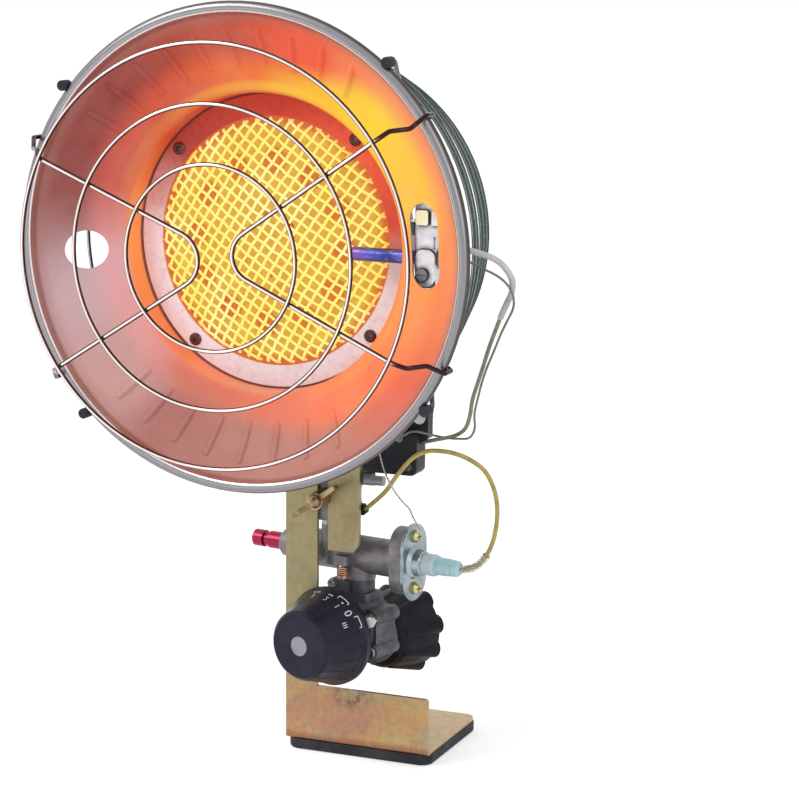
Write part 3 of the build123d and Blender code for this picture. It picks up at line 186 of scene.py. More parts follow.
class Paint:
    """One Principled material, built node by node. Its positions are millimetres in the head frame."""

    def __init__(self, name, **sockets):
        self.mat = bpy.data.materials.new(name)
        self.mat.use_nodes = True
        self.tree = self.mat.node_tree
        self.shader = self.tree.nodes["Principled BSDF"]
        coords = self.tree.nodes.new("ShaderNodeTexCoord")
        self.normal = coords.outputs["Normal"]
        scaled = self.vector("SCALE", coords.outputs["Object"], scale=1000.0)
        self.at = self.vector("SUBTRACT", scaled, tuple(HEAD))
        self.set(**sockets)

    def set(self, **sockets):
        for key, value in sockets.items():
            feed(self.tree, self.shader.inputs[key.replace("_", " ").title().replace("Ior", "IOR")], value)
        return self

    def node(self, kind, **fields):
        made = self.tree.nodes.new(kind)
        for key, value in fields.items():
            setattr(made, key, value)
        return made

    def vector(self, op, a, b=None, scale=None):
        made = self.node("ShaderNodeVectorMath", operation=op)
        feed(self.tree, made.inputs[0], a)
        if b is not None:
            feed(self.tree, made.inputs[1], b)
        if scale is not None:
            feed(self.tree, made.inputs["Scale"], scale)
        return made.outputs["Value" if op in ("LENGTH", "DOT_PRODUCT", "DISTANCE") else "Vector"]

    def calc(self, op, a, b=0.0, c=0.0, clamp=False):
        made = self.node("ShaderNodeMath", operation=op, use_clamp=clamp)
        for socket, value in zip(made.inputs, (a, b, c)):
            feed(self.tree, socket, value)
        return made.outputs[0]

    def xyz(self, vector=None):
        made = self.node("ShaderNodeSeparateXYZ")
        feed(self.tree, made.inputs[0], vector or self.at)
        return made.outputs[0], made.outputs[1], made.outputs[2]

    def band(self, value, low, high):
        """0 below low, 1 above high, smooth between; low may be the larger."""
        made = self.node("ShaderNodeMapRange", interpolation_type="SMOOTHSTEP")
        feed(self.tree, made.inputs["Value"], value)
        made.inputs["From Min"].default_value = low
        made.inputs["From Max"].default_value = high
        return made.outputs["Result"]

    def noise(self, per_mm, detail=3.0, rough=0.55, stretch=None, seed=0.0, low=None, high=None):
        where = self.at
        if stretch:
            where = self.vector("MULTIPLY", where, stretch)
        if seed:
            where = self.vector("ADD", where, (seed, -seed, 2 * seed))
        made = self.node("ShaderNodeTexNoise")
        feed(self.tree, made.inputs["Vector"], where)
        made.inputs["Scale"].default_value = per_mm
        made.inputs["Detail"].default_value = detail
        made.inputs["Roughness"].default_value = rough
        out = made.outputs["Fac"]
        return out if low is None else self.band(out, low, high)

    def ramp(self, fac, stops, ease="EASE"):
        made = self.node("ShaderNodeValToRGB")
        made.color_ramp.interpolation = ease
        elements = made.color_ramp.elements
        while len(elements) < len(stops):
            elements.new(0.5)
        for element, (position, color) in zip(elements, stops):
            element.position = position
            element.color = (*color, 1) if isinstance(color, tuple) else (color, color, color, 1)
        feed(self.tree, made.inputs["Fac"], fac)
        return made.outputs["Color"]

    def mix(self, fac, a, b, how="MIX"):
        made = self.node("ShaderNodeMix", data_type="RGBA", blend_type=how)
        feed(self.tree, made.inputs[0], fac)
        feed(self.tree, made.inputs[6], a)
        feed(self.tree, made.inputs[7], b)
        return made.outputs[2]

    def span(self, fac, low, high):
        """A number that runs from low to high as fac runs from 0 to 1."""
        return self.calc("MULTIPLY_ADD", fac, high - low, low)

    def bump(self, height, depth_mm, strength=1.0):
        made = self.node("ShaderNodeBump")
        made.inputs["Distance"].default_value = depth_mm * MM
        made.inputs["Strength"].default_value = strength
        feed(self.tree, made.inputs["Height"], height)
        return self.set(normal=made.outputs["Normal"])

    def open_air(self, reach_mm):
        """1 on open faces, falling towards 0 in corners narrower than reach_mm."""
        made = self.node("ShaderNodeAmbientOcclusion", samples=6)
        made.inputs["Distance"].default_value = reach_mm * MM
        return made.outputs["AO"]

    def outward(self):
        """How far the surface leans away from the reflector's axis: 1 straight out, -1 straight in."""
        away = self.vector("NORMALIZE", self.vector("MULTIPLY", self.at, (1, 0, 1)))
        return self.vector("DOT_PRODUCT", self.normal, away)

    def flank(self):
        """0 where the surface faces forwards or back, 1 where it is side-on."""
        return self.calc("SUBTRACT", 1.0, self.calc("ABSOLUTE", self.xyz(self.normal)[1]))

    def radius_and_turn(self):
        """Distance from the reflector's axis, and the turn about it: 0 right, 0.25 top, 0.5 left."""
        x, _, z = self.xyz()
        radius = self.vector("LENGTH", self.vector("MULTIPLY", self.at, (1, 0, 1)))
        turn = self.calc("DIVIDE", self.calc("ARCTAN2", z, x), 2 * pi)
        return radius, self.calc("FRACT", self.calc("ADD", turn, 1.0))


def glow(rgb, gain):
    return tuple(c * gain for c in rgb)


# bands of the bowl, by distance from its axis or by depth, each from where it starts to where it is full
GLOW_FROM, GLOW_SPAN = 70.0, 30.0            # the burner's glow on the cone; its reach is a share of the span
LIP_HIGHLIGHT, GREYED = (74.0, 71.0), (97.0, 101.5)    # painted highlight on the recess's lip, and the cone's greyer edge
RIM_SHADOW_LINE, PLAIN_RIM = (101.2, 102.6), (102.9, 103.4)           # painted shadow line at the rim's foot, then unlit steel
ROLLED_R, ROLLED_Y = (102.4, 102.8), (5.4, 4.6)              # the rolled rim
RECESS_WALL = (THROAT_Y - 4.0, THROAT_Y - 0.5)
WALL_CORNER_SHADE = (SEAT_Y - 3.2, SEAT_Y - 1.6)   # painted shade line where the recess's wall meets its floor
INNER_LEAN = (-0.15, -0.55)                  # inner faces lean towards the axis and forwards


def bowl_sheet():
    """Aluminised sheet: plain steel grey outside and on the rim; inside, the burner's glow is painted into
    its colour and given as a faint painted emission.
    """
    p = Paint("aluminised_sheet_finish", specular_ior_level=0.15, specular_tint=(1.0, 0.75, 0.65))
    radius, turn = p.radius_and_turn()
    _, y, _ = p.xyz()
    drift = p.calc("MULTIPLY_ADD", p.noise(0.018, 2), 0.06, -0.03)
    turn = p.calc("FRACT", p.calc("ADD", p.calc("ADD", turn, drift), 1.0))
    # painted glow of the burner on the cone, dimmer (cool) and brighter (warm), round the turn
    cool = p.ramp(turn, [(0.0, (0.96, 0.30, 0.10)), (0.12, (0.98, 0.32, 0.12)), (0.20, (0.92, 0.13, 0.06)),
                         (0.27, (0.58, 0.11, 0.07)), (0.38, (0.31, 0.05, 0.045)), (0.46, (0.31, 0.09, 0.085)),
                         (0.54, (0.58, 0.40, 0.43)), (0.62, (0.55, 0.31, 0.29)), (0.69, (0.41, 0.165, 0.145)),
                         (0.76, (0.44, 0.19, 0.16)), (0.82, (0.50, 0.21, 0.16)), (0.89, (0.78, 0.14, 0.08)),
                         (1.0, (0.92, 0.27, 0.10))])
    warm = p.ramp(turn, [(0.0, (0.98, 0.34, 0.10)), (0.05, (0.98, 0.56, 0.06)), (0.12, (1.0, 0.68, 0.035)),
                         (0.19, (0.98, 0.54, 0.04)), (0.25, (0.92, 0.20, 0.05)), (0.34, (0.70, 0.11, 0.06)),
                         (0.44, (0.62, 0.12, 0.085)), (0.53, (0.74, 0.38, 0.40)), (0.61, (0.72, 0.33, 0.31)),
                         (0.68, (0.62, 0.15, 0.10)), (0.78, (0.76, 0.18, 0.11)), (0.86, (0.96, 0.22, 0.09)),
                         (1.0, (0.98, 0.34, 0.10))])
    reach = p.ramp(turn, [(0.0, 0.60), (0.06, 0.74), (0.12, 0.72), (0.21, 0.30), (0.29, 0.52), (0.40, 0.45),
                          (0.72, 0.22), (0.85, 0.55), (1.0, 0.60)])
    # how far out the painted glow reaches on the cone
    out = p.calc("DIVIDE", p.calc("SUBTRACT", radius, GLOW_FROM), GLOW_SPAN)
    heat = p.band(p.calc("SUBTRACT", out, reach), 0.22, -0.22)
    cone = p.mix(heat, cool, warm)
    # how strong the painted highlight on the recess's lip is, round the turn
    edge = p.ramp(turn, [(0.0, 0.0), (0.12, 0.30), (0.2, 0.85), (0.27, 0.45), (0.36, 0.12), (0.43, 0.10),
                         (0.52, 0.0), (0.75, 0.0), (0.9, 0.15), (1.0, 0.0)])
    lip_highlight = p.calc("MULTIPLY", p.band(radius, *LIP_HIGHLIGHT), edge)
    cone = p.mix(lip_highlight, cone, (1.0, 0.60, 0.05))
    cone = p.mix(p.calc("MULTIPLY", p.band(radius, *GREYED), 0.42), cone, (0.42, 0.20, 0.18))
    # painted shadow line under the rim's roll
    cone = p.mix(p.calc("MULTIPLY", p.band(radius, *RIM_SHADOW_LINE), 0.6), cone, (0.22, 0.07, 0.06))
    # painted glow on the recess's wall
    deep = p.ramp(turn, [(0.0, (0.82, 0.12, 0.04)), (0.14, (0.86, 0.20, 0.04)), (0.25, (0.55, 0.055, 0.035)),
                         (0.36, (0.70, 0.11, 0.04)), (0.5, (0.98, 0.34, 0.09)), (0.64, (0.86, 0.24, 0.10)),
                         (0.75, (0.72, 0.27, 0.16)), (0.9, (0.84, 0.18, 0.07)), (1.0, (0.82, 0.12, 0.04))])
    lit = p.mix(p.band(y, *RECESS_WALL), cone, deep)
    # painted shade where the recess's wall meets its floor
    lit = p.mix(p.calc("MULTIPLY", p.band(y, *WALL_CORNER_SHADE), 0.8), lit, (0.20, 0.05, 0.05))
    streak = p.noise(0.05, 4, 0.6, low=0.32, high=0.72)
    lit = p.mix(p.span(streak, 0.0, 0.07), lit, (0.90, 0.66, 0.58))
    scorch = p.noise(0.9, 4, 0.65, low=0.55, high=0.75)
    lit = p.mix(p.calc("MULTIPLY", scorch, 0.18), lit, (0.20, 0.07, 0.06))
    _, ny, _ = p.xyz(p.normal)
    outward = p.outward()
    inside = p.band(p.calc("ADD", outward, ny), *INNER_LEAN)
    front = p.calc("MULTIPLY", inside, p.calc("SUBTRACT", 1.0, p.band(radius, *PLAIN_RIM)))
    spangle = p.noise(0.5, 3, 0.6)
    plain = p.ramp(p.noise(0.09, 4, 0.6), [(0.25, (0.30, 0.30, 0.31)), (0.75, (0.47, 0.47, 0.48))])
    plain = p.mix(p.span(spangle, 0.0, 0.25), plain, (0.22, 0.22, 0.23))
    # the rolled rim: a painted highlight line on its inner shoulder, painted shade where it turns away
    roll = p.ramp(p.calc("MULTIPLY_ADD", outward, 0.5, 0.5),
                  [(0.0, (0.16, 0.05, 0.04)), (0.14, (0.26, 0.12, 0.11)), (0.19, (0.95, 0.82, 0.80)),
                   (0.26, (0.72, 0.66, 0.66)), (0.31, (0.30, 0.28, 0.29)), (0.42, (0.38, 0.37, 0.39)),
                   (0.58, (0.28, 0.27, 0.29)), (0.80, (0.30, 0.29, 0.30)), (0.91, (0.10, 0.10, 0.10)),
                   (1.0, (0.05, 0.05, 0.05))])
    roll = p.mix(p.calc("MULTIPLY", spangle, 0.2), roll, (0.16, 0.15, 0.16))
    rolled = p.calc("MULTIPLY", p.band(radius, *ROLLED_R), p.band(y, *ROLLED_Y))
    plain = p.mix(rolled, plain, roll)
    rough = p.span(p.noise(0.22, 3), 0.34, 0.50)
    # the painted glow is also a faint emission on the inner faces
    p.set(base_color=p.mix(front, plain, lit), metallic=p.span(front, 0.75, 0.0),
          roughness=p.calc("SUBTRACT", rough, p.calc("MULTIPLY", rolled, 0.16)),
          emission_color=lit, emission_strength=p.calc("MULTIPLY", front, 0.14))
    return p.bump(p.noise(1.1, 4, 0.6), 0.05, 0.5).mat


def flange_steel():
    """Flat ring round the burner: pale steel below; at the top, the burner's red glow is painted into its
    colour as a reflection, with a faint painted emission.
    """
    p = Paint("flange_ring_finish", metallic=0.15, specular_ior_level=0.3)
    _, turn = p.radius_and_turn()
    # painted reflection of the burner's glow: red at the top, pale steel below
    heat = p.ramp(turn, [(0.0, (0.72, 0.26, 0.18)), (0.03, (0.66, 0.08, 0.04)), (0.12, (0.84, 0.12, 0.05)),
                         (0.25, (0.66, 0.06, 0.03)), (0.38, (0.52, 0.07, 0.05)), (0.44, (0.70, 0.36, 0.34)),
                         (0.50, (0.92, 0.76, 0.82)), (0.62, (0.88, 0.76, 0.80)), (0.75, (0.80, 0.68, 0.71)),
                         (0.92, (0.80, 0.70, 0.70)), (0.98, (0.82, 0.64, 0.60)), (1.0, (0.72, 0.26, 0.18))])
    cloud = p.mix(p.noise(0.3, 4, 0.6, low=0.45, high=0.7), heat, (0.72, 0.66, 0.68), "MULTIPLY")
    p.set(base_color=p.mix(0.45, heat, cloud), emission_color=heat, emission_strength=0.10,
          roughness=p.span(p.noise(0.3, 3), 0.32, 0.52))
    return p.bump(p.noise(1.4, 3), 0.04, 0.5).mat


def hot_wire(coolest_r=57.0):
    """Woven burner wire at yellow heat, a little paler at the crown and redder at its edge."""
    p = Paint("burner_wire_finish", roughness=0.75)
    radius, _ = p.radius_and_turn()
    heat = p.ramp(p.calc("DIVIDE", radius, coolest_r),
                  [(0.0, (1.0, 0.82, 0.22)), (0.6, (1.0, 0.80, 0.18)), (0.93, (1.0, 0.76, 0.15)),
                   (1.0, (0.80, 0.30, 0.05))])
    pale = p.calc("MULTIPLY", p.noise(0.05, 3, low=0.45, high=0.7), 0.5)
    heat = p.mix(pale, heat, (1.0, 0.92, 0.50))
    p.set(base_color=(0.22, 0.13, 0.04), emission_color=heat,
          emission_strength=p.span(p.noise(0.6, 2), 0.92, 1.08))
    return p.bump(p.noise(3.0, 2), 0.04, 0.4).mat


PATCH_R, PLATE_EDGE = (7.2, 4.6), (50.0, 55.0)       # red round each cluster, and towards the plate's edge


def hot_plate():
    """Perforated plate behind the mesh: orange, with a red patch round each cluster of holes."""
    p = Paint("burner_plate_finish", roughness=0.8)
    radius, turn = p.radius_and_turn()
    sector = p.calc("SUBTRACT", p.calc("MULTIPLY", turn, 360.0 / CLUSTER_STEP), CLUSTER_TURN / CLUSTER_STEP)
    local = p.calc("SUBTRACT", p.calc("FRACT", p.calc("ADD", sector, 0.5)), 0.5)
    across = p.calc("MULTIPLY", local, radians(CLUSTER_STEP) * CLUSTER_R)
    along = p.calc("SUBTRACT", radius, CLUSTER_R)
    off = p.calc("SQRT", p.calc("ADD", p.calc("POWER", across, 2.0), p.calc("POWER", along, 2.0)))
    patch = p.band(off, *PATCH_R)
    base = p.ramp(p.noise(0.07, 4, 0.65), [(0.25, (0.58, 0.27, 0.035)), (0.5, (0.66, 0.38, 0.045)),
                                           (0.75, (0.82, 0.52, 0.07))])
    hue = p.mix(p.calc("MULTIPLY", patch, 0.9), base, (0.54, 0.11, 0.025))
    hue = p.mix(p.band(radius, *PLATE_EDGE), hue, (0.60, 0.10, 0.03))
    p.set(base_color=(0.16, 0.08, 0.03), emission_color=hue, emission_strength=0.85)
    return p.bump(p.noise(1.2, 3), 0.05, 0.5).mat


DULL_RED = (0.50, 0.08, 0.02)                # glow inside the can
CAN_R, PIPE_R = (SEAT_R - 0.6, SEAT_R - 1.2), (12.0, 11.0)   # how far out the can and the tube's mouth glow
BORE_LEAN = (-0.3, -0.7)                     # the tube's inner face leans towards the axis


def hot_can():
    """Gas can: dull steel outside, glowing dull red inside."""
    p = Paint("can_steel_finish", metallic=0.6)
    radius, _ = p.radius_and_turn()
    _, ny, _ = p.xyz(p.normal)
    inside = p.band(p.calc("ADD", p.outward(), ny), *INNER_LEAN)
    inside = p.calc("MULTIPLY", inside, p.band(radius, *CAN_R))
    tone = p.mix(p.noise(0.05, 4, 0.6, low=0.38, high=0.72), (0.42, 0.41, 0.40), (0.30, 0.24, 0.20))
    p.set(base_color=tone, emission_color=DULL_RED, emission_strength=inside,
          roughness=p.span(p.noise(0.4, 3), 0.3, 0.5))
    return p.bump(p.noise(0.8, 4, 0.6), 0.04, 0.6).mat


def pipe_steel():
    """Mixing tube: dull steel outside, glowing dull red in its mouth inside the can."""
    p = Paint("tube_steel_finish", metallic=0.9)
    radius, _ = p.radius_and_turn()
    bore = p.calc("MULTIPLY", p.band(p.outward(), *BORE_LEAN), p.band(radius, *PIPE_R))
    tone = p.mix(p.noise(0.08, 4, 0.6, low=0.38, high=0.72), (0.40, 0.40, 0.41), (0.26, 0.25, 0.25))
    speck = p.noise(1.6, 3, 0.6, low=0.58, high=0.75)
    p.set(base_color=p.mix(p.calc("MULTIPLY", speck, 0.35), tone, (0.22, 0.22, 0.22)),
          emission_color=DULL_RED, emission_strength=bore, roughness=p.span(p.noise(0.4, 3), 0.25, 0.45))
    return p.bump(p.noise(0.8, 4, 0.6), 0.04, 0.6).mat


def chrome_wire():
    """Bright chrome: a painted highlight along the front and back of the wire, painted shade on its flanks.
    """
    p = Paint("chrome_wire_finish", metallic=1.0)
    # painted highlight where the wire faces forwards or back, painted shade on its side-on flanks
    shade = p.ramp(p.flank(), [(0.0, (0.90, 0.84, 0.82)), (0.05, (0.78, 0.68, 0.66)),
                               (0.13, (0.24, 0.13, 0.12)), (0.26, (0.05, 0.02, 0.02)),
                               (1.0, (0.02, 0.01, 0.01))])
    tarnish = p.noise(0.25, 4, 0.6, low=0.5, high=0.75)
    p.set(base_color=p.mix(p.calc("MULTIPLY", tarnish, 0.25), shade, (0.36, 0.27, 0.25)),
          roughness=p.span(p.noise(0.8, 2), 0.08, 0.20))
    return p.bump(p.noise(2.5, 2), 0.02, 0.3).mat


def dark_wire():
    """Zinc-plated basket wire: a grey-green painted highlight front and back, painted shade nearly black on
    its flanks.
    """
    p = Paint("dark_wire_finish", metallic=0.85)
    # painted highlight where the wire faces forwards or back, painted shade on its side-on flanks
    shade = p.ramp(p.flank(), [(0.0, (0.66, 0.74, 0.74)), (0.04, (0.36, 0.43, 0.42)),
                               (0.12, (0.05, 0.07, 0.07)), (1.0, (0.01, 0.02, 0.02))])
    grime = p.calc("MULTIPLY", p.noise(0.3, 4, 0.6, low=0.5, high=0.8), 0.5)
    p.set(base_color=p.mix(grime, shade, (0.12, 0.15, 0.14)), roughness=p.span(p.noise(0.9, 2), 0.18, 0.34))
    return p.bump(p.noise(2.5, 2), 0.02, 0.3).mat


def tinted_probe(tip_x=42.0, length=40.0):
    """Steel probe, heat-tinted straw, purple and blue along its length."""
    p = Paint("probe_steel_finish", metallic=0.7)
    x, _, _ = p.xyz()
    wobble = p.calc("MULTIPLY_ADD", p.noise(0.3, 4, 0.65), 0.34, -0.17)
    along = p.calc("ADD", p.calc("DIVIDE", p.calc("SUBTRACT", x, tip_x), length), wobble)
    tint = p.ramp(along, [(0.0, (0.22, 0.10, 0.40)), (0.25, (0.09, 0.10, 0.48)), (0.45, (0.03, 0.05, 0.24)),
                          (0.62, (0.13, 0.14, 0.52)), (0.8, (0.40, 0.14, 0.36)), (1.0, (0.30, 0.20, 0.26))])
    streak = p.noise(0.9, 3, 0.6, stretch=(0.25, 1, 1), low=0.5, high=0.72)
    p.set(base_color=p.mix(p.calc("MULTIPLY", streak, 0.5), tint, (0.45, 0.42, 0.72)),
          roughness=p.span(p.noise(0.7, 3), 0.28, 0.5))
    return p.bump(p.noise(1.6, 3), 0.05, 0.5).mat


# where the foot bracket's tones change, as (starts, full)
WARM_Z = (-205.0, -235.0)                    # gold above, orange below
FOOT_Z, FOOT_Y = (-245.0, -248.0), (100.0, 101.5)            # paler top of the foot
BEND_Z, BEND_Y = (-247.5, -251.0), (101.0, 99.0)             # reddish bend at the foot of the wall
DARK_PATCH_AT, DARK_PATCH_SQUASH, DARK_PATCH_R = (13.0, 97.5, -227.5), 0.55, (8.5, 2.0)     # darker patch under the knob


def chromate(name):
    """Yellow-passivated steel sheet with its drifting tones: olive and gold, orange and rose."""
    p = Paint(name, metallic=0.55)
    _, y, z = p.xyz()
    drift = p.noise(0.028, 4, 0.6)
    low = p.band(z, *WARM_Z)
    gold = p.ramp(drift, [(0.25, (0.22, 0.22, 0.11)), (0.42, (0.28, 0.25, 0.13)),
                          (0.55, (0.34, 0.28, 0.14)), (0.68, (0.30, 0.22, 0.11)), (0.8, (0.38, 0.21, 0.09))])
    warm = p.ramp(drift, [(0.25, (0.44, 0.36, 0.17)), (0.4, (0.50, 0.35, 0.15)), (0.52, (0.52, 0.30, 0.13)),
                          (0.64, (0.46, 0.24, 0.13)), (0.78, (0.36, 0.20, 0.16))])
    hue = p.mix(low, gold, warm)
    green = p.noise(0.05, 3, 0.6, seed=40.0, low=0.5, high=0.72)
    hue = p.mix(p.calc("MULTIPLY", green, 0.45), hue, (0.30, 0.33, 0.22))
    rose = p.noise(0.036, 5, 0.65, seed=90.0, low=0.55, high=0.72)
    hue = p.mix(p.calc("MULTIPLY", rose, 0.30), hue, (0.42, 0.22, 0.16))
    top = p.calc("MULTIPLY", p.band(z, *FOOT_Z), p.band(y, *FOOT_Y))
    hue = p.mix(p.calc("MULTIPLY", top, 0.6), hue, (0.70, 0.52, 0.28))
    bend = p.calc("MULTIPLY", p.band(z, *BEND_Z), p.band(y, *BEND_Y))
    hue = p.mix(p.calc("MULTIPLY", bend, 0.75), hue, (0.33, 0.11, 0.05))
    # darker patch under the knob, squashed sideways and broken up by noise
    squashed = p.vector("MULTIPLY", p.at, (DARK_PATCH_SQUASH, 1, 1))
    dark_patch_x, dark_patch_y, dark_patch_z = DARK_PATCH_AT
    from_dark_patch = p.vector("DISTANCE", squashed, (dark_patch_x * DARK_PATCH_SQUASH, dark_patch_y, dark_patch_z))
    dark_patch = p.calc("MULTIPLY", p.band(from_dark_patch, *DARK_PATCH_R), p.noise(0.28, 4, 0.7, low=0.42, high=0.60))
    hue = p.mix(p.calc("MULTIPLY", dark_patch, 0.8), hue, (0.13, 0.07, 0.05))
    patch = p.noise(0.22, 5, 0.7, seed=15.0, low=0.46, high=0.66)
    hue = p.mix(p.calc("MULTIPLY", patch, 0.32), hue, (0.20, 0.15, 0.08))
    rub = p.noise(0.5, 4, 0.7, stretch=(1.0, 1.0, 0.12), seed=60.0, low=0.52, high=0.70)
    hue = p.mix(p.calc("MULTIPLY", rub, 0.25), hue, (0.52, 0.44, 0.26))
    speck = p.noise(1.2, 2, 0.5, low=0.62, high=0.72)
    hue = p.mix(p.calc("MULTIPLY", speck, 0.40), hue, (0.74, 0.68, 0.50))
    p.set(base_color=hue, roughness=p.span(p.noise(0.3, 4, 0.7), 0.24, 0.50))
    return p.bump(p.noise(0.9, 4, 0.6), 0.05, 0.4).mat


TAB_X, TAB_Z, TAB_BLUR = (73.9, 80.3), (12.7, 19.8), 0.6     # the bracket's raised upper tab


def bracket_plate():
    """Bright plated bracket behind the long hole: painted shade in its steps and narrow corners, a painted
    reflection of the yellow glow on one tab.
    """
    p = Paint("bracket_steel_finish", metallic=0.8)
    x, _, z = p.xyz()
    tone = p.mix(p.noise(0.15, 4, 0.6, low=0.38, high=0.72), (0.80, 0.77, 0.80), (0.60, 0.55, 0.56))
    tab = 1.0
    for value, (low, high) in ((z, TAB_Z), (x, TAB_X)):
        within = p.calc("MULTIPLY", p.band(value, low, low + TAB_BLUR), p.band(value, high, high - TAB_BLUR))
        tab = p.calc("MULTIPLY", tab, within)
    # painted reflection of the burner's yellow glow on the raised tab
    tone = p.mix(p.calc("MULTIPLY", tab, 0.8), tone, (0.95, 0.84, 0.46))
    # painted shade in the bracket's steps and narrow corners
    corner_shade = p.band(p.open_air(2.6), 0.96, 0.70)
    p.set(base_color=p.mix(corner_shade, tone, (0.05, 0.035, 0.04)), roughness=p.span(p.noise(0.5, 3), 0.2, 0.4))
    return p.bump(p.noise(0.8, 4, 0.6), 0.05, 0.6).mat


def metal(name, color, worn, rough=(0.25, 0.45), metallic=0.9, grain=0.8, depth=0.04, cloud=0.12, **fixed):
    """Plain metal part: two tones drifting into each other, fine grain, uneven gloss."""
    p = Paint(name, metallic=metallic, **fixed)
    tone = p.mix(p.noise(cloud, 4, 0.6, low=0.38, high=0.72), color, worn)
    speck = p.noise(grain * 2, 3, 0.6, low=0.58, high=0.75)
    p.set(base_color=p.mix(p.calc("MULTIPLY", speck, 0.35), tone, glow(color, 0.55)),
          roughness=p.span(p.noise(grain * 0.5, 3), *rough))
    return p.bump(p.noise(grain, 4, 0.6), depth, 0.6).mat


def casting(name, color, worn, rough=(0.38, 0.62)):
    """Sand-blasted die casting: pitted skin, rubbed bright on its high spots."""
    p = Paint(name, metallic=0.55)
    cloud = p.mix(p.noise(0.10, 5, 0.65, low=0.35, high=0.7), color, worn)
    pits = p.noise(1.5, 5, 0.7)
    dark = p.band(pits, 0.44, 0.36)
    p.set(base_color=p.mix(p.calc("MULTIPLY", dark, 0.5), cloud, glow(color, 0.4)),
          roughness=p.span(p.noise(0.5, 4), *rough))
    return p.bump(pits, 0.16, 0.6).mat


def plastic(name, color, worn, rough=(0.25, 0.45), grain=1.2, depth=0.03, **fixed):
    """Moulded plastic or rubber: nearly even colour, a fine moulded skin and a little dust."""
    p = Paint(name, **fixed)
    tone = p.mix(p.noise(0.08, 4, 0.6, low=0.35, high=0.75), color, worn)
    dust = p.noise(0.9, 5, 0.7, low=0.62, high=0.80)
    p.set(base_color=p.mix(p.calc("MULTIPLY", dust, 0.25), tone, glow(worn, 1.6)),
          roughness=p.span(p.noise(0.35, 4), *rough))
    return p.bump(p.noise(grain, 4, 0.6), depth, 0.6).mat


def insulation(name, color, worn, rough=(0.35, 0.55), weave=0.0, **fixed):
    """Cord jacket; weave is the pitch of its braid in turns for each millimetre, if it has one."""
    p = Paint(name, **fixed)
    tone = p.mix(p.noise(0.16, 4, 0.6, low=0.38, high=0.70), color, worn)
    skin = p.noise(1.5, 3)
    if weave:
        wave = p.node("ShaderNodeTexWave", bands_direction="DIAGONAL", wave_type="BANDS")
        feed(p.tree, wave.inputs["Vector"], p.at)
        wave.inputs["Scale"].default_value = weave
        wave.inputs["Distortion"].default_value = 1.5
        skin = wave.outputs["Fac"]
        tone = p.mix(p.calc("MULTIPLY", p.band(skin, 0.5, 0.1), 0.35), tone, glow(worn, 0.5))
    p.set(base_color=tone, roughness=p.span(p.noise(0.6, 3), *rough))
    return p.bump(skin, 0.12 if weave else 0.03, 0.6).mat


def brass(name, color, worn):
    return metal(name, color, worn, (0.22, 0.45), metallic=0.95, grain=0.9)


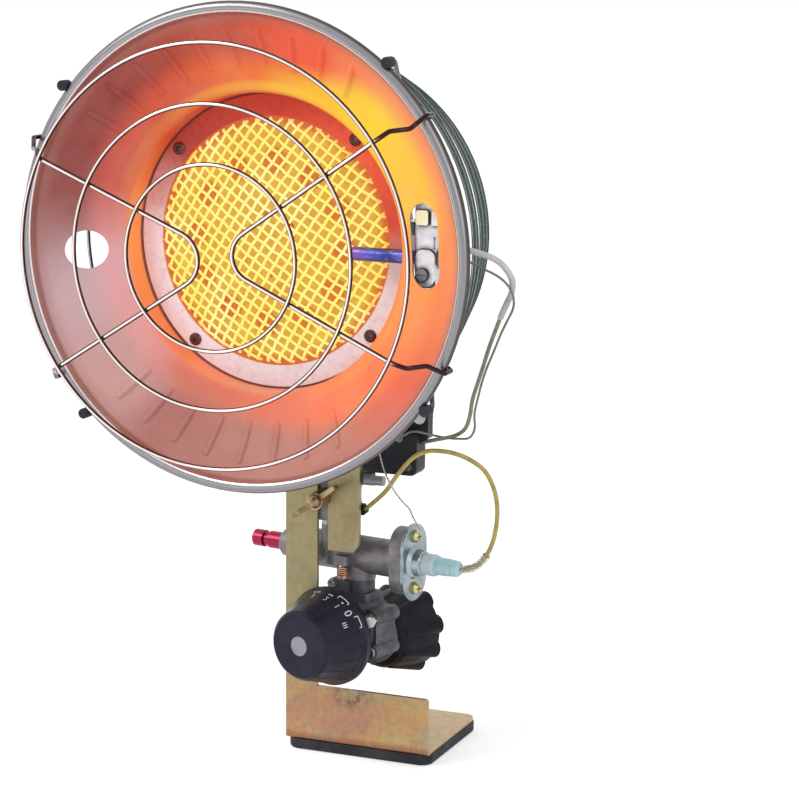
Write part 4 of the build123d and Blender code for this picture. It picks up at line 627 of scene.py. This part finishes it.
def build_materials():
    dull = {"specular_ior_level": 0.18, "specular_tint": (0.5, 0.5, 0.55)}
    return {
        "aluminised_sheet": bowl_sheet(),
        "ring_steel": flange_steel(),
        "eyelet_steel": metal("eyelet_finish", (0.18, 0.055, 0.045), (0.09, 0.03, 0.03), metallic=0.8),
        "burner_wire": hot_wire(),
        "burner_plate": hot_plate(),
        "can_steel": hot_can(),
        "tube_steel": pipe_steel(),
        "chrome_wire": chrome_wire(),
        "dark_wire": dark_wire(),
        "black_rubber": plastic("black_rubber_finish", (0.033, 0.033, 0.040), (0.062, 0.060, 0.070),
                                (0.50, 0.75), depth=0.06, **dull),
        "probe_steel": tinted_probe(),
        "bracket_steel": bracket_plate(),
        "screw_zinc": metal("screw_zinc_finish", (0.62, 0.63, 0.64), (0.40, 0.40, 0.41), (0.2, 0.38)),
        "screw_brassy": metal("screw_brassy_finish", (0.62, 0.58, 0.26), (0.36, 0.34, 0.20), (0.2, 0.4)),
        "fibre": plastic("fibre_finish", (0.56, 0.48, 0.30), (0.36, 0.28, 0.16), (0.5, 0.75), depth=0.10),
        "screw_copper": metal("screw_copper_finish", (0.62, 0.42, 0.30), (0.28, 0.18, 0.14), (0.2, 0.4)),
        "switch_black": plastic("switch_black_finish", (0.022, 0.021, 0.026), (0.034, 0.033, 0.040),
                                (0.30, 0.48), depth=0.05, **dull),
        "gold_steel": chromate("gold_steel_finish"),
        "lug_steel": metal("lug_steel_finish", (0.13, 0.13, 0.14), (0.22, 0.22, 0.22), (0.35, 0.55)),
        "bolt_brass": brass("bolt_brass_finish", (0.44, 0.32, 0.18), (0.17, 0.11, 0.06)),
        "valve_cast": casting("valve_cast_finish", (0.17, 0.16, 0.17), (0.33, 0.31, 0.32)),
        "regulator_cast": casting("regulator_cast_finish", (0.065, 0.065, 0.075), (0.15, 0.15, 0.165)),
        "nozzle_brass": brass("nozzle_brass_finish", (0.60, 0.46, 0.18), (0.40, 0.28, 0.10)),
        "flange_zinc": metal("flange_zinc_finish", (0.36, 0.42, 0.46), (0.18, 0.22, 0.24), (0.16, 0.34)),
        "white_nylon": plastic("white_nylon_finish", (0.74, 0.80, 0.82), (0.62, 0.70, 0.73), (0.3, 0.45),
                               subsurface_weight=0.25),
        "blue_boot": plastic("blue_boot_finish", (0.38, 0.72, 0.78), (0.54, 0.82, 0.86), (0.22, 0.4),
                             subsurface_weight=0.2),
        "bushing_steel": metal("bushing_steel_finish", (0.24, 0.23, 0.24), (0.34, 0.33, 0.34),
                               (0.4, 0.6), metallic=0.5),
        "red_anodised": metal("red_anodised_finish", (0.36, 0.03, 0.07), (0.26, 0.02, 0.05),
                              (0.18, 0.32), metallic=0.85),
        "spring_steel": metal("spring_steel_finish", (0.5, 0.5, 0.5), (0.34, 0.34, 0.34)),
        "knob_black": plastic("knob_black_finish", (0.015, 0.016, 0.026), (0.026, 0.027, 0.040),
                              (0.18, 0.34), depth=0.02, specular_ior_level=0.3,
                              specular_tint=(0.45, 0.45, 0.55)),
        "knob_disc": metal("knob_disc_finish", (0.34, 0.32, 0.36), (0.28, 0.26, 0.30), (0.45, 0.6),
                           metallic=0.2),
        "pointer_white": plastic("pointer_white_finish", (0.80, 0.80, 0.80), (0.70, 0.70, 0.71),
                                 (0.35, 0.5)),
        "nut_black": plastic("nut_black_finish", (0.010, 0.010, 0.014), (0.020, 0.019, 0.025), (0.34, 0.55),
                             depth=0.06, **dull),
        "seal_rubber": plastic("seal_rubber_finish", (0.02, 0.05, 0.03), (0.03, 0.06, 0.04), (0.4, 0.6)),
        "sleeve_cream": insulation("sleeve_cream_finish", (0.84, 0.82, 0.77), (0.62, 0.60, 0.55), (0.6, 0.8),
                                   weave=0.9),
        "lead_olive": insulation("lead_olive_finish", (0.34, 0.31, 0.22), (0.22, 0.20, 0.14)),
        "lead_dark": insulation("lead_dark_finish", (0.24, 0.22, 0.20), (0.13, 0.11, 0.10), (0.25, 0.4)),
        "lead_yellow": insulation("lead_yellow_finish", (0.56, 0.42, 0.08), (0.40, 0.28, 0.05),
                                  (0.22, 0.38), coat_weight=0.3),
        "bare_wire": metal("bare_wire_finish", (0.46, 0.44, 0.44), (0.22, 0.20, 0.20), (0.2, 0.4)),
        "clear_sleeve": clear_tube(),
    }


def clear_tube():
    p = Paint("clear_sleeve_finish", transmission_weight=0.85, ior=1.42, specular_ior_level=0.5)
    p.set(base_color=p.mix(p.noise(0.3, 3, low=0.4, high=0.7), (0.88, 0.90, 0.84), (0.72, 0.74, 0.66)),
          roughness=p.span(p.noise(0.8, 3), 0.10, 0.24))
    return p.bump(p.noise(0.8, 2), 0.02, 0.3).mat


MATERIALS = build_materials()


def paint_frame():
    """Every CAD node gets the finish of the record's slot it was made with."""
    for piece in NODES.values():
        for holder in piece.material_slots:
            slot = holder.material.name.split(".")[0] if holder.material else ""
            holder.material = MATERIALS.get(slot, MATERIALS["tube_steel"])


def new_piece(name, verts, faces, slot, body="heater", smooth_faces=True):
    """A mesh piece in the part's frame, finished from one slot and carried by one body."""
    mesh = bpy.data.meshes.new(name)
    mesh.from_pydata([tuple(v) for v in verts], [], faces)
    mesh.validate()
    mesh.materials.append(MATERIALS[slot])
    if smooth_faces:
        for face in mesh.polygons:
            face.use_smooth = True
    piece = bpy.data.objects.new(name, mesh)
    bpy.context.scene.collection.objects.link(piece)
    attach(piece, body)
    return piece


# ---- leads -------------------------------------------------------------------------------------
SPLICE = ((108.0, 40.6, -27.7), (-0.441, 0.376, -0.815))     # end of the cream sleeve and its heading
LEADS = {
    "lead_sleeve": [(95.85, 23.6, 4.2), (104.6, 23.8, 2.6), (111.8, 25.1, 0.1), (116.0, 27.5, -4.6),
                    (117.6, 30.1, -9.9), (115.4, 34.1, -16.0), (111.8, 37.4, -21.0), SPLICE[0]],
    "thermocouple_lead": [tuple(p + 0.2 * d for p, d in zip(*SPLICE)), (105.4, 43.4, -32.4),
                          (101.3, 48.0, -39.4), (97.5, 52.6, -46.6), (93.4, 58.0, -54.6),
                          (89.0, 63.5, -62.7), (84.6, 69.0, -70.9), (81.8, 74.5, -79.0),
                          (77.6, 80.1, -87.1), (70.6, 85.1, -91.7), (61.7, 89.4, -94.6),
                          (51.75, 90.8, -97.4)],
    "thin_lead": [(95.9, 22.6, 0.4), (105.0, 23.2, -3.5), (112.9, 25.2, -7.1), (116.9, 27.6, -11.7),
                  (118.0, 30.1, -16.5), (116.6, 34.0, -21.9), (112.4, 38.0, -27.9), (107.5, 42.2, -35.6),
                  (102.7, 47.2, -44.2), (97.7, 52.5, -52.2), (93.2, 58.0, -60.7), (89.3, 63.5, -69.3),
                  (85.5, 69.1, -77.9), (84.6, 74.1, -84.8), (80.5, 78.1, -90.9), (74.2, 79.7, -91.7),
                  (67.6, 81.0, -92.2), (60.2, 82.1, -91.6), (54.0, 82.4, -90.8), (49.7, 81.9, -90.4),
                  (45.0, 82.8, -93.6)],
    "control_lead": [VALVE @ Vector((BOOT_END + 0.3, 0, BARREL_Z)),
                     VALVE @ Vector((BOOT_END + 7.0, 0, BARREL_Z + 1.5)),
                     (79.5, 101.9, -153.2), (84.0, 100.6, -145.0), (86.8, 98.2, -134.6), (87.9, 95.7, -124.9),
                     (86.9, 92.6, -115.4), (83.7, 89.6, -107.5), (78.4, 86.8, -103.0), (71.9, 83.9, -99.7),
                     (64.8, 81.7, -98.5), (57.2, 80.5, -99.0), (50.6, 80.2, -103.0), (45.5, 79.8, -109.4),
                     (41.5, 80.9, -114.5), (35.4, 86.9, -121.5), (27.0, 95.3, -128.3), (17.7, 103.6, -135.4)],
    "ground_wire": [(33.2, 82.4, -100.6), (36.2, 80.8, -108.8), (39.2, 79.0, -113.4), (41.6, 79.9, -118.3),
                    (42.1, 85.9, -123.5), (42.7, 92.6, -128.6), (42.7, 98.5, -131.8), (42.2, 103.6, -137.4),
                    VALVE @ Vector((FLANGE_X + 4.6, 0, BARREL_Z + SCREW_DZ + 3.6))],
}
# radius and length in millimetres, finish, stiffness, what is on its far end
LEAD_FACTS = {
    "lead_sleeve": (1.4, 52.0, "sleeve_cream", "stiff", "bare"),
    "thermocouple_lead": (0.95, 107.7, "lead_olive", "medium", "object"),
    "thin_lead": (0.55, 164.0, "lead_dark", "medium", "object"),
    "control_lead": (1.1, 155.9, "lead_yellow", "medium", "object"),
    "ground_wire": (0.5, 58.5, "bare_wire", "stiff", "object"),
}


def route(name, points, radius_mm=0.0):
    """One open NURBS spline through the lead's route, as a curve of that radius."""
    data = bpy.data.curves.new(name, "CURVE")
    data.dimensions = "3D"
    spline = data.splines.new("NURBS")
    spline.points.add(len(points) - 1)
    for control, point in zip(spline.points, points):
        control.co = (*place(*point), 1.0)
    spline.order_u = 3
    spline.use_endpoint_u = True
    spline.resolution_u = 14
    data.bevel_depth = radius_mm * MM
    data.bevel_resolution = 4
    data.use_fill_caps = radius_mm > 0
    return data


def points_of(data):
    """The points along a curve that has no bevel."""
    ghost = bpy.data.objects.new("route", data)
    bpy.context.scene.collection.objects.link(ghost)
    bpy.context.view_layer.update()
    mesh = bpy.data.meshes.new_from_object(ghost)
    found = [v.co.copy() for v in mesh.vertices]
    bpy.data.objects.remove(ghost)
    bpy.data.meshes.remove(mesh)
    return found


def frames_along(points):
    """A tangent and two cross directions at each point, turning as little as possible."""
    out = []
    side = None
    for i, point in enumerate(points):
        ahead = points[min(i + 1, len(points) - 1)] - points[max(i - 1, 0)]
        ahead.normalize()
        if side is None:
            side = ahead.orthogonal()
        side = (side - ahead * side.dot(ahead)).normalized()
        out.append((point, side.copy(), ahead.cross(side)))
    return out


def tube(points, radius, sides=8, caps=True):
    """Vertices and faces of a round tube along points; radius is one number or one for each point."""
    verts, faces = [], []
    for i, (point, a, b) in enumerate(frames_along(points)):
        r = radius[i] if isinstance(radius, list) else radius
        for k in range(sides):
            turn = 2 * pi * k / sides
            verts.append(point + (a * cos(turn) + b * sin(turn)) * r)
    for i in range(len(points) - 1):
        for k in range(sides):
            n = (k + 1) % sides
            faces.append((i * sides + k, i * sides + n, (i + 1) * sides + n, (i + 1) * sides + k))
    if caps:
        faces.append(tuple(reversed(range(sides))))
        faces.append(tuple(range((len(points) - 1) * sides, len(points) * sides)))
    return verts, faces


def joined(parts):
    """Several (vertices, faces) as one."""
    verts, faces = [], []
    for part_verts, part_faces in parts:
        shift = len(verts)
        verts += part_verts
        faces += [tuple(shift + i for i in face) for face in part_faces]
    return verts, faces


def lay_lead(name):
    radius, length, finish, stiffness, far_end = LEAD_FACTS[name]
    points = LEADS[name]
    piece = bpy.data.objects.new(name + "_run", route(name + "_run", points, radius))
    bpy.context.scene.collection.objects.link(piece)
    piece.data.materials.append(MATERIALS[finish])
    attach(piece, "heater")
    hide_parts(name)


def lay_ground_wire(strand=0.27, pitch=3.2):
    """Two bare strands twisted round each other."""
    name = "ground_wire"
    radius, length, finish, stiffness, far_end = LEAD_FACTS[name]
    path = points_of(route("ground_route", LEADS[name]))
    parts, run = [], 0.0
    twist = []
    for i, (point, a, b) in enumerate(frames_along(path)):
        run += (point - path[i - 1]).length / MM if i else 0.0
        turn = 2 * pi * run / pitch
        twist.append((point, (a * cos(turn) + b * sin(turn)) * (radius - strand) * MM))
    for side in (1, -1):
        parts.append(tube([p + side * off for p, off in twist], strand * MM, 6))
    piece = new_piece("ground_wire_strands", *joined(parts), finish)
    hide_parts(name)


for lead in LEADS:
    if lead != "ground_wire":
        lay_lead(lead)
lay_ground_wire()


# ---- burner mesh -------------------------------------------------------------------------------
MESH_R, MESH_EDGE_Y, MESH_RISE = 56.2, 38.86, 10.3
CURL_FROM, EDGE_CURL = 53.6, 0.9             # where the dome's edge starts to turn down, and how fast
PITCH, WIRE_R, WEAVE, WARP_DEG = 4.5, 0.64, 0.50, 57.0


def dome_depth(rho):
    """Depth of the domed mesh at a radius; it turns down steeply at its clamped edge."""
    sphere = (MESH_R ** 2 + MESH_RISE ** 2) / (2 * MESH_RISE)
    depth = MESH_EDGE_Y - MESH_RISE + sphere - sqrt(sphere ** 2 - min(rho, MESH_R) ** 2)
    return depth + EDGE_CURL * max(0.0, rho - CURL_FROM) ** 2


def woven_mesh():
    """Round wires woven over and under each other on the dome."""
    parts = []
    count = int(MESH_R / PITCH) + 1
    step = PITCH / 4
    for family in (0, 1):
        c, s = cos(radians(WARP_DEG + 90 * family)), sin(radians(WARP_DEG + 90 * family))
        for i in range(-count, count + 1):
            across = i * PITCH
            if abs(across) > MESH_R - 1.0:
                continue
            half = sqrt(MESH_R ** 2 - across ** 2)
            n = max(2, ceil(2 * half / step))
            line = []
            for k in range(n + 1):
                along = -half + 2 * half * k / n
                x, z = c * along - s * across, s * along + c * across
                phase = pi * along / PITCH + pi * i
                lift = WEAVE * cos(phase) * (1 if family else -1)
                line.append(place(x, dome_depth(hypot(x, z)) + lift, z))
            parts.append(tube(line, WIRE_R * MM, 6))
    piece = new_piece("burner_wires", *joined(parts), "burner_wire")
    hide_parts("burner_mesh")


woven_mesh()


# ---- marks on the knob -------------------------------------------------------------------------
# the knob's side from its face to the skirt, as (radius, y); heights are measured from the cone's foot
CONE = ((16.9, KNOB_FRONT + 1.2), (22.6, KNOB_BACK - 5.0))
SKIRT = ((22.6, KNOB_BACK - 5.0), (23.1, KNOB_BACK - 3.8), (23.6, KNOB_BACK - 3.2), (24.0, KNOB_BACK - 2.6))
MARK_PROUD, BRACKET_R = 0.05, 23.3           # marks stand off the knob, and the circle of the stop lines


def on_cone(turn_deg, up, across):
    """A point on the knob's side: up from the cone's foot towards its face, down onto the skirt."""
    if up >= 0:
        (r1, y1), (r0, y0) = CONE
        share = up / hypot(r1 - r0, y1 - y0)
    else:
        left = -up
        for (r0, y0), (r1, y1) in zip(SKIRT, SKIRT[1:]):
            step = hypot(r1 - r0, y1 - y0)
            share = min(left / step, 1.0)
            if left <= step:
                break
            left -= step
    r, y = r0 + share * (r1 - r0), y0 + share * (y1 - y0)
    turn = radians(turn_deg) - across / r
    r += MARK_PROUD
    return place(KNOB_X + r * cos(turn), y, KNOB_Z + r * sin(turn), REGULATOR)


FONT_SIZE = 1.4                              # font size for each unit of a numeral's height


def glyph(text, height):
    """A numeral's outline as flat triangles, centred, height tall, fine enough to bend."""
    data = bpy.data.curves.new("numeral", "FONT")
    data.body, data.size, data.resolution_u = text, height * FONT_SIZE, 4
    data.align_x, data.align_y = "CENTER", "CENTER"
    ghost = bpy.data.objects.new("numeral", data)
    bpy.context.scene.collection.objects.link(ghost)
    bpy.context.view_layer.update()
    mesh = bpy.data.meshes.new_from_object(ghost)
    verts = [v.co.copy() for v in mesh.vertices]
    faces = [tuple(f.vertices) for f in mesh.polygons]
    bpy.data.objects.remove(ghost)
    bpy.data.meshes.remove(mesh)
    return verts, faces


def bar(u0, v0, u1, v1, width=0.42):
    """A straight stroke, cut into short lengths so it can bend round the cone."""
    n = max(1, ceil(hypot(u1 - u0, v1 - v0) / 0.8))
    du, dv = u1 - u0, v1 - v0
    size = hypot(du, dv)
    ox, oy = -dv / size * width / 2, du / size * width / 2
    verts = []
    for k in range(n + 1):
        u, v = u0 + du * k / n, v0 + dv * k / n
        verts += [Vector((u + ox, v + oy, 0)), Vector((u - ox, v - oy, 0))]
    faces = [(2 * k, 2 * k + 1, 2 * k + 3, 2 * k + 2) for k in range(n)]
    return verts, faces


def dot(u, v, r=0.42, sides=14):
    turns = [2 * pi * k / sides for k in range(sides)]
    return [Vector((u + r * cos(t), v + r * sin(t), 0)) for t in turns], [tuple(range(sides))]


def knob_marks():
    """Generic scale: numerals 0 to 3, dots that count them, and a stop line at each end."""
    parts = []

    def wrap(shape, turn_deg, up):
        verts, faces = shape
        parts.append(([on_cone(turn_deg, up + v.y, v.x) for v in verts], faces))

    wrap(glyph("0", 4.2), 43.5, 2.0)
    for numeral, turn in (("1", 59), ("2", 78.5), ("3", 100)):
        wrap(glyph(numeral, 3.0), turn, 4.4)
        for k in range(int(numeral)):
            wrap(dot(1.5 * (k - (int(numeral) - 1) / 2), 0, 0.55), turn, 1.0)
    for turn, end in ((36.0, 22.0), (69.0, 54.0)):
        reach = radians(turn - end) * BRACKET_R
        wrap(bar(0, 0.6, 0, -1.4), turn, 0.0)
        wrap(bar(0, -1.4, reach, -1.4), turn, 0.0)
        wrap(bar(reach, -1.4, reach, -0.2), turn, 0.0)
    for turn in (28, 31, 34):
        wrap(bar(0, -1.2, 0, 1.2), turn, 7.0)
    new_piece("knob_marks", *joined(parts), "pointer_white", "knob", smooth_faces=False)


knob_marks()
paint_frame()

bpy.context.scene.view_settings.view_transform = "Standard"
